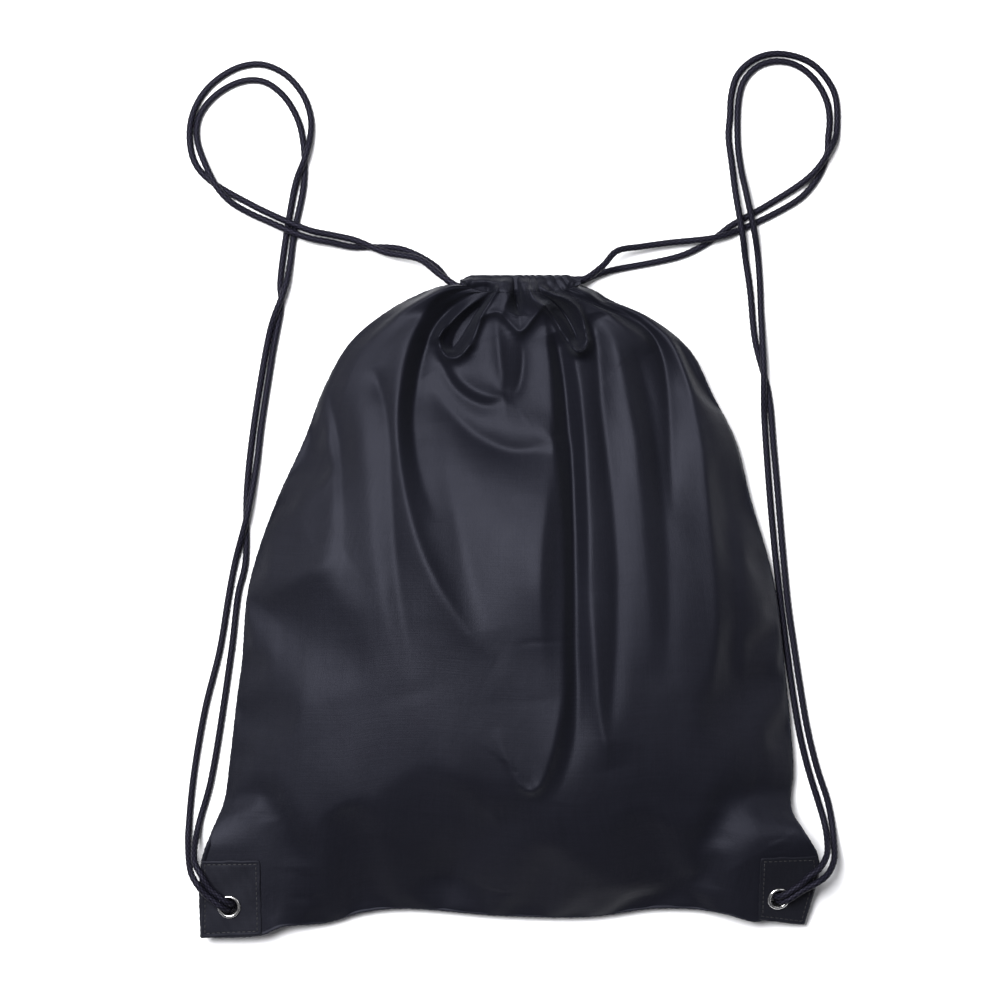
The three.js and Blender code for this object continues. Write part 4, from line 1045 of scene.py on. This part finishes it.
def add_seam(name, line, outward_turn):
    """The turned edge that joins both panels along a side or the bottom."""
    middle = evenly(centripetal(line), np.linspace(0, 1, SEAM_STEPS))
    tangent = directions(middle[:, :2])
    outward = np.stack([-tangent[:, 1], tangent[:, 0]], axis=1) * outward_turn
    along = distances(middle)
    for side, corner in CORNERS.items():
        share = corner_share(side, middle[:, 0], middle[:, 1])
        middle[:, 2] = lerp(middle[:, 2], plane_height(corner, middle[:, 0], middle[:, 1]), share)
    turn = np.linspace(-math.pi / 2, math.pi / 2, 13)
    pucker = 1 + 0.16 * np.sin(along * 1.9) + 0.12 * np.sin(along * 0.73 + 1)
    bulge = 0.55 * pucker[:, None] * np.cos(turn)[None]
    flat = np.stack([middle[:, None, 0] + outward[:, None, 0] * bulge,
                     middle[:, None, 1] + outward[:, None, 1] * bulge,
                     middle[:, None, 2] + SEAM_ROLL * np.sin(turn)[None]], axis=2)
    under = flat[:, :1].copy()
    over = flat[:, -1:].copy()
    for edge, height in ((under, 0.12), (over, -0.12)):
        edge[..., :2] -= outward[:, None] * SEAM_OVER
        edge[..., 2] += height
    points = np.concatenate([under, flat, over], axis=1)
    rows, columns = points.shape[:2]
    around = np.linspace(0, 0.009, columns)
    uvs = np.stack([np.tile(around, rows), np.repeat(along * MM, columns)], axis=1)
    faces = grid_faces(rows, columns, flip=outward_turn < 0)
    seam = new_object(name, points.reshape(-1, 3) * MM, faces, CLOTH, uvs)
    thicken(seam, 0.25 * MM)
    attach(seam, "bag")
    return seam


# ---------------------------------------------------------------- bottom corners
PATCH_HEIGHT = 1.62  # a patch's outer face, from the seam surface
PATCH_CELLS = (208, 30)
STITCH = {"length": 2.3, "gap": 0.55, "width": 0.5, "height": 0.26, "inset": 2.4}
RING_SEGMENTS = 72


def from_corner(corner, local):
    """Places in the frame from a corner's own axes."""
    return np.asarray(local) @ np.array(corner["turn"].to_matrix()).T + np.array(corner["eye"])


def outline_reach(side, angle, inset=0.0):
    """How far a patch reaches from its eyelet's middle, at each angle in its plane."""
    corner = CORNERS[side]
    plan = np.array(OUTLINES[side])
    tops = plane_height(corner, plan[:, 0] + corner["eye"].x, plan[:, 1] + corner["eye"].y)
    spots = np.column_stack([plan, tops - corner["eye"].z])
    flat = (spots @ np.array(corner["turn"].to_matrix()))[:, :2]
    reach = np.full(len(angle), np.inf)
    ray = np.stack([np.cos(angle), np.sin(angle)], axis=1)
    for a, b in zip(flat, np.roll(flat, -1, axis=0)):
        edge = b - a
        normal = np.array([edge[1], -edge[0]]) / np.linalg.norm(edge)
        gap = a @ normal - inset
        facing = ray @ normal
        reach = np.minimum(reach, np.where(facing > 1e-6, gap / np.maximum(facing, 1e-6), np.inf))
    return reach


def patch_height(x, y, edge):
    """A patch's gentle waves, its rolled hem and the dimple along its stitches."""
    waves = (0.16 * np.sin(0.31 * x + 0.12 * y + 1) + 0.12 * np.sin(0.27 * y - 0.2 * x + 2)
             + 0.05 * np.sin(0.9 * x + 0.5 * y))
    hem = 0.08 * np.exp(-((edge - 1.1) / 0.8) ** 2) - 0.42 * np.exp(-(edge / 0.35) ** 2)
    stitched = -0.12 * np.exp(-((edge - STITCH["inset"]) / 0.7) ** 2)
    return np.maximum(PATCH_HEIGHT + waves + hem + stitched, 1.32)


def add_patch(side, face):
    """A square of doubled cloth sewn over a bottom corner, as rings round its eyelet."""
    corner, up = CORNERS[side], 1 if face == "front" else -1
    columns, rows = PATCH_CELLS
    angle = np.linspace(0, 2 * math.pi, columns, endpoint=False)
    share = (np.linspace(0, 1, rows + 1) ** 0.8)[:, None]
    reach = outline_reach(side, angle)
    softened = (np.roll(reach, 1) + np.roll(reach, -1) + 2 * reach) / 4
    softened = softened * (1 + 0.006 * np.sin(9 * angle) + 0.004 * np.sin(17 * angle + 1))
    r = lerp(HOLE_RADIUS, softened[None], share)
    x, y = r * np.cos(angle), r * np.sin(angle)
    height = patch_height(x, y, softened[None] - r)
    points = from_corner(corner, np.stack([x, y, up * height], axis=2).reshape(-1, 3))
    uvs = np.stack([x.ravel(), y.ravel()], axis=1) * MM
    patch = new_object(f"{side}_patch_{face}_cloth", points * MM,
                       grid_faces(rows + 1, columns, wrap=True, flip=up > 0), PATCH_CLOTH, uvs)
    thicken(patch, 0.3 * MM)
    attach(patch, "bag")
    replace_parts(patch, f"{side}_patch_{face}")


def stitch_row(centres, directions, normals):
    """Small rounded stitches, each lying along its direction."""
    rings, sides = 7, 8
    t = np.linspace(-1, 1, rings)
    girth = np.sqrt(np.maximum(1 - t ** 4, 0.02))
    angle = np.arange(sides) / sides * 2 * math.pi
    points, faces = [], []
    for centre, along, up in zip(centres, directions, normals):
        across = np.cross(up, along)
        base = len(points) * rings * sides
        ring = (centre + (t * STITCH["length"] / 2)[:, None, None] * along
                + (girth[:, None] * np.cos(angle) * STITCH["width"] / 2)[..., None] * across
                + (girth[:, None] * np.sin(angle) * STITCH["height"])[..., None] * up
                - (t[:, None, None] ** 4 * 0.25) * up)
        points.append(ring.reshape(-1, 3))
        body = grid_faces(rings, sides, wrap=True)
        faces += [tuple(f + base) for f in body]
        faces.append(tuple(base + np.arange(sides)[::-1]))
        faces.append(tuple(base + (rings - 1) * sides + np.arange(sides)))
    return np.vstack(points), faces


def add_patch_stitches(side):
    corner = CORNERS[side]
    angle = np.linspace(0, 2 * math.pi, 1440)
    reach = outline_reach(side, angle, STITCH["inset"])
    line = np.stack([reach * np.cos(angle), reach * np.sin(angle)], axis=1)
    count = int(line_length(line) / (STITCH["length"] + STITCH["gap"]))
    places = evenly(line, (np.arange(count) + 0.5) / count)
    ahead = evenly(line, (np.arange(count) + 0.7) / count) - places
    ahead /= np.linalg.norm(ahead, axis=1)[:, None]
    outer = outline_reach(side, np.arctan2(places[:, 1], places[:, 0]))
    edge = outer - np.linalg.norm(places, axis=1)
    height = patch_height(places[:, 0], places[:, 1], edge) + 0.02
    turn = np.array(corner["turn"].to_matrix())
    centres = from_corner(corner, np.column_stack([places, height]))
    directions = np.column_stack([ahead, np.zeros(count)]) @ turn.T
    points, faces = stitch_row(centres, directions, np.tile(turn[:, 2], (count, 1)))
    stitches = new_object(side + "_patch_stitches", points * MM, faces, THREAD)
    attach(stitches, "bag")
    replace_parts(stitches, side + "_patch_thread")


def lathe(name, side, profile, node):
    """A ring turned round an eyelet's axis from a closed profile of radii and heights."""
    angle = np.linspace(0, 2 * math.pi, RING_SEGMENTS, endpoint=False)
    r, z = np.array(profile).T
    rows = len(profile)
    local = np.stack([r[:, None] * np.cos(angle), r[:, None] * np.sin(angle),
                      np.repeat(z[:, None], RING_SEGMENTS, axis=1)], axis=2)
    points = from_corner(CORNERS[side], local.reshape(-1, 3))
    faces = grid_faces(rows, RING_SEGMENTS, wrap=True)
    last = (rows - 1) * RING_SEGMENTS
    closing = [(last + k, last + (k + 1) % RING_SEGMENTS, (k + 1) % RING_SEGMENTS, k)
               for k in range(RING_SEGMENTS)]
    ring = new_object(name, points * MM, [*map(tuple, faces), *closing], NICKEL)
    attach(ring, "bag")
    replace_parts(ring, node)


def arc(middle_r, middle_z, radius_r, radius_z, start, end, steps=9):
    angles = np.radians(np.linspace(start, end, steps))
    return [(middle_r + radius_r * math.cos(a), middle_z + radius_z * math.sin(a))
            for a in angles]


def add_eyelet(side):
    crown = arc(5.5, 2.4, 1.0, 0.92, 0, 180, 17)
    inside = [(4.5, 1.6), (4.5, 0), (4.5, -2.6), (4.52, -3.5)]
    clinched = arc(5.1, -3.62, 0.56, 0.45, 190, 350, 9)
    outside = [(5.0, -3.1), (4.9, -2.6), (4.9, 0), (4.9, 2.2), (5.1, 2.36), (6.2, 2.36)]
    lathe(side + "_eyelet_ring", side, [*crown, *inside, *clinched, *outside], side + "_eyelet")


def add_washer(side):
    top = [(5.25, -2.38), (6.3, -2.38)]
    rim = arc(6.3, -2.78, 0.2, 0.4, 90, -90, 7)
    under = [(5.9, -3.24), (5.5, -3.2), (5.25, -3.1)]
    lathe(side + "_washer_ring", side, [*top, *rim, *under], side + "_eyelet_washer")


def add_knot(side):
    """An overhand knot under the eyelet, with two cut tails."""
    corner = CORNERS[side]
    t = np.linspace(0, 2 * math.pi, 260)
    across = 1.50 * (np.sin(t) + 2 * np.sin(2 * t))
    beside = 1.22 * (np.cos(t) - 2 * np.cos(2 * t))
    height = -KNOT_DEPTH - 2.1 * np.sin(3 * t)
    loop = [in_corner(corner, *spot) for spot in zip(across, beside, height)]
    knot = add_cord(side + "_stop_knot", np.array(loop) * MM, KNOT_RINGS)
    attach(knot, "bag")
    for number, lean in enumerate((-1, 1), 1):
        tail = [in_corner(corner, -1, lean, -KNOT_DEPTH - 0.5),
                in_corner(corner, -5, lean * 2.2, -KNOT_DEPTH - 1.2),
                in_corner(corner, -9, lean * 2.6, -KNOT_DEPTH - 2.2),
                in_corner(corner, -13, lean * 3.4, -KNOT_DEPTH - 2.6)]
        end = add_cord(f"{side}_knot_tail_{number}", centripetal(tail) * MM, TAIL_RINGS)
        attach(end, "bag")
    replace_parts(knot, side + "_knot")


NICKEL = nickel_material()
THREAD = thread_material()
PATCH_CLOTH = cloth_material("patch_cloth", (0.0035, 0.0036, 0.0055, 1),
                             (0.0070, 0.0072, 0.0105, 1), 0.54, 0.15)

add_hem("front_casing", CASING_HEIGHTS["front_casing"], 1)
add_hem("rear_casing", CASING_HEIGHTS["rear_casing"], -1)
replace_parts(add_seam("left_seam_edge", LEFT_SEAM, 1), "left_side_seam")
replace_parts(add_seam("right_seam_edge", RIGHT_SEAM, -1), "right_side_seam")
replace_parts(add_seam("bottom_seam_edge", BOTTOM_SEAM, -1), "bottom_seam")
for corner_side in CORNERS:
    add_cord_run(corner_side)
    add_patch(corner_side, "front")
    add_patch(corner_side, "back")
    add_patch_stitches(corner_side)
    add_eyelet(corner_side)
    add_washer(corner_side)
    add_knot(corner_side)

# ---------------------------------------------------------------- floor and light
LIGHTS_AIM = (0, 0.05, 0)


def add_floor():
    size = 3.0
    floor = new_object("floor", [(-size, -size, 0), (size, -size, 0), (size, size, 0),
                                 (-size, size, 0)], [(0, 1, 2, 3)], floor_material())


def add_light(name, place, size, power):
    data = bpy.data.lights.new(name, "AREA")
    data.shape = "RECTANGLE"
    data.size, data.size_y = size
    data.energy = power
    light = bpy.data.objects.new(name, data)
    light.location = place
    light.rotation_euler = (Vector(LIGHTS_AIM) - Vector(place)).to_track_quat("-Z", "Y").to_euler()
    bpy.context.scene.collection.objects.link(light)


def add_lights():
    world = bpy.data.worlds.new("studio")
    world.use_nodes = True
    sky = world.node_tree.nodes["Background"]
    sky.inputs["Color"].default_value = (0.95, 0.95, 1.0, 1)
    sky.inputs["Strength"].default_value = 0.12
    bpy.context.scene.world = world
    add_light("key", (-0.62, 0.62, 1.8), (1.0, 1.0), 100)
    add_light("fill", (1.5, 0.6, 1.3), (1.0, 1.2), 5)


add_floor()
add_lights()
bpy.context.scene.view_settings.view_transform = "Standard"
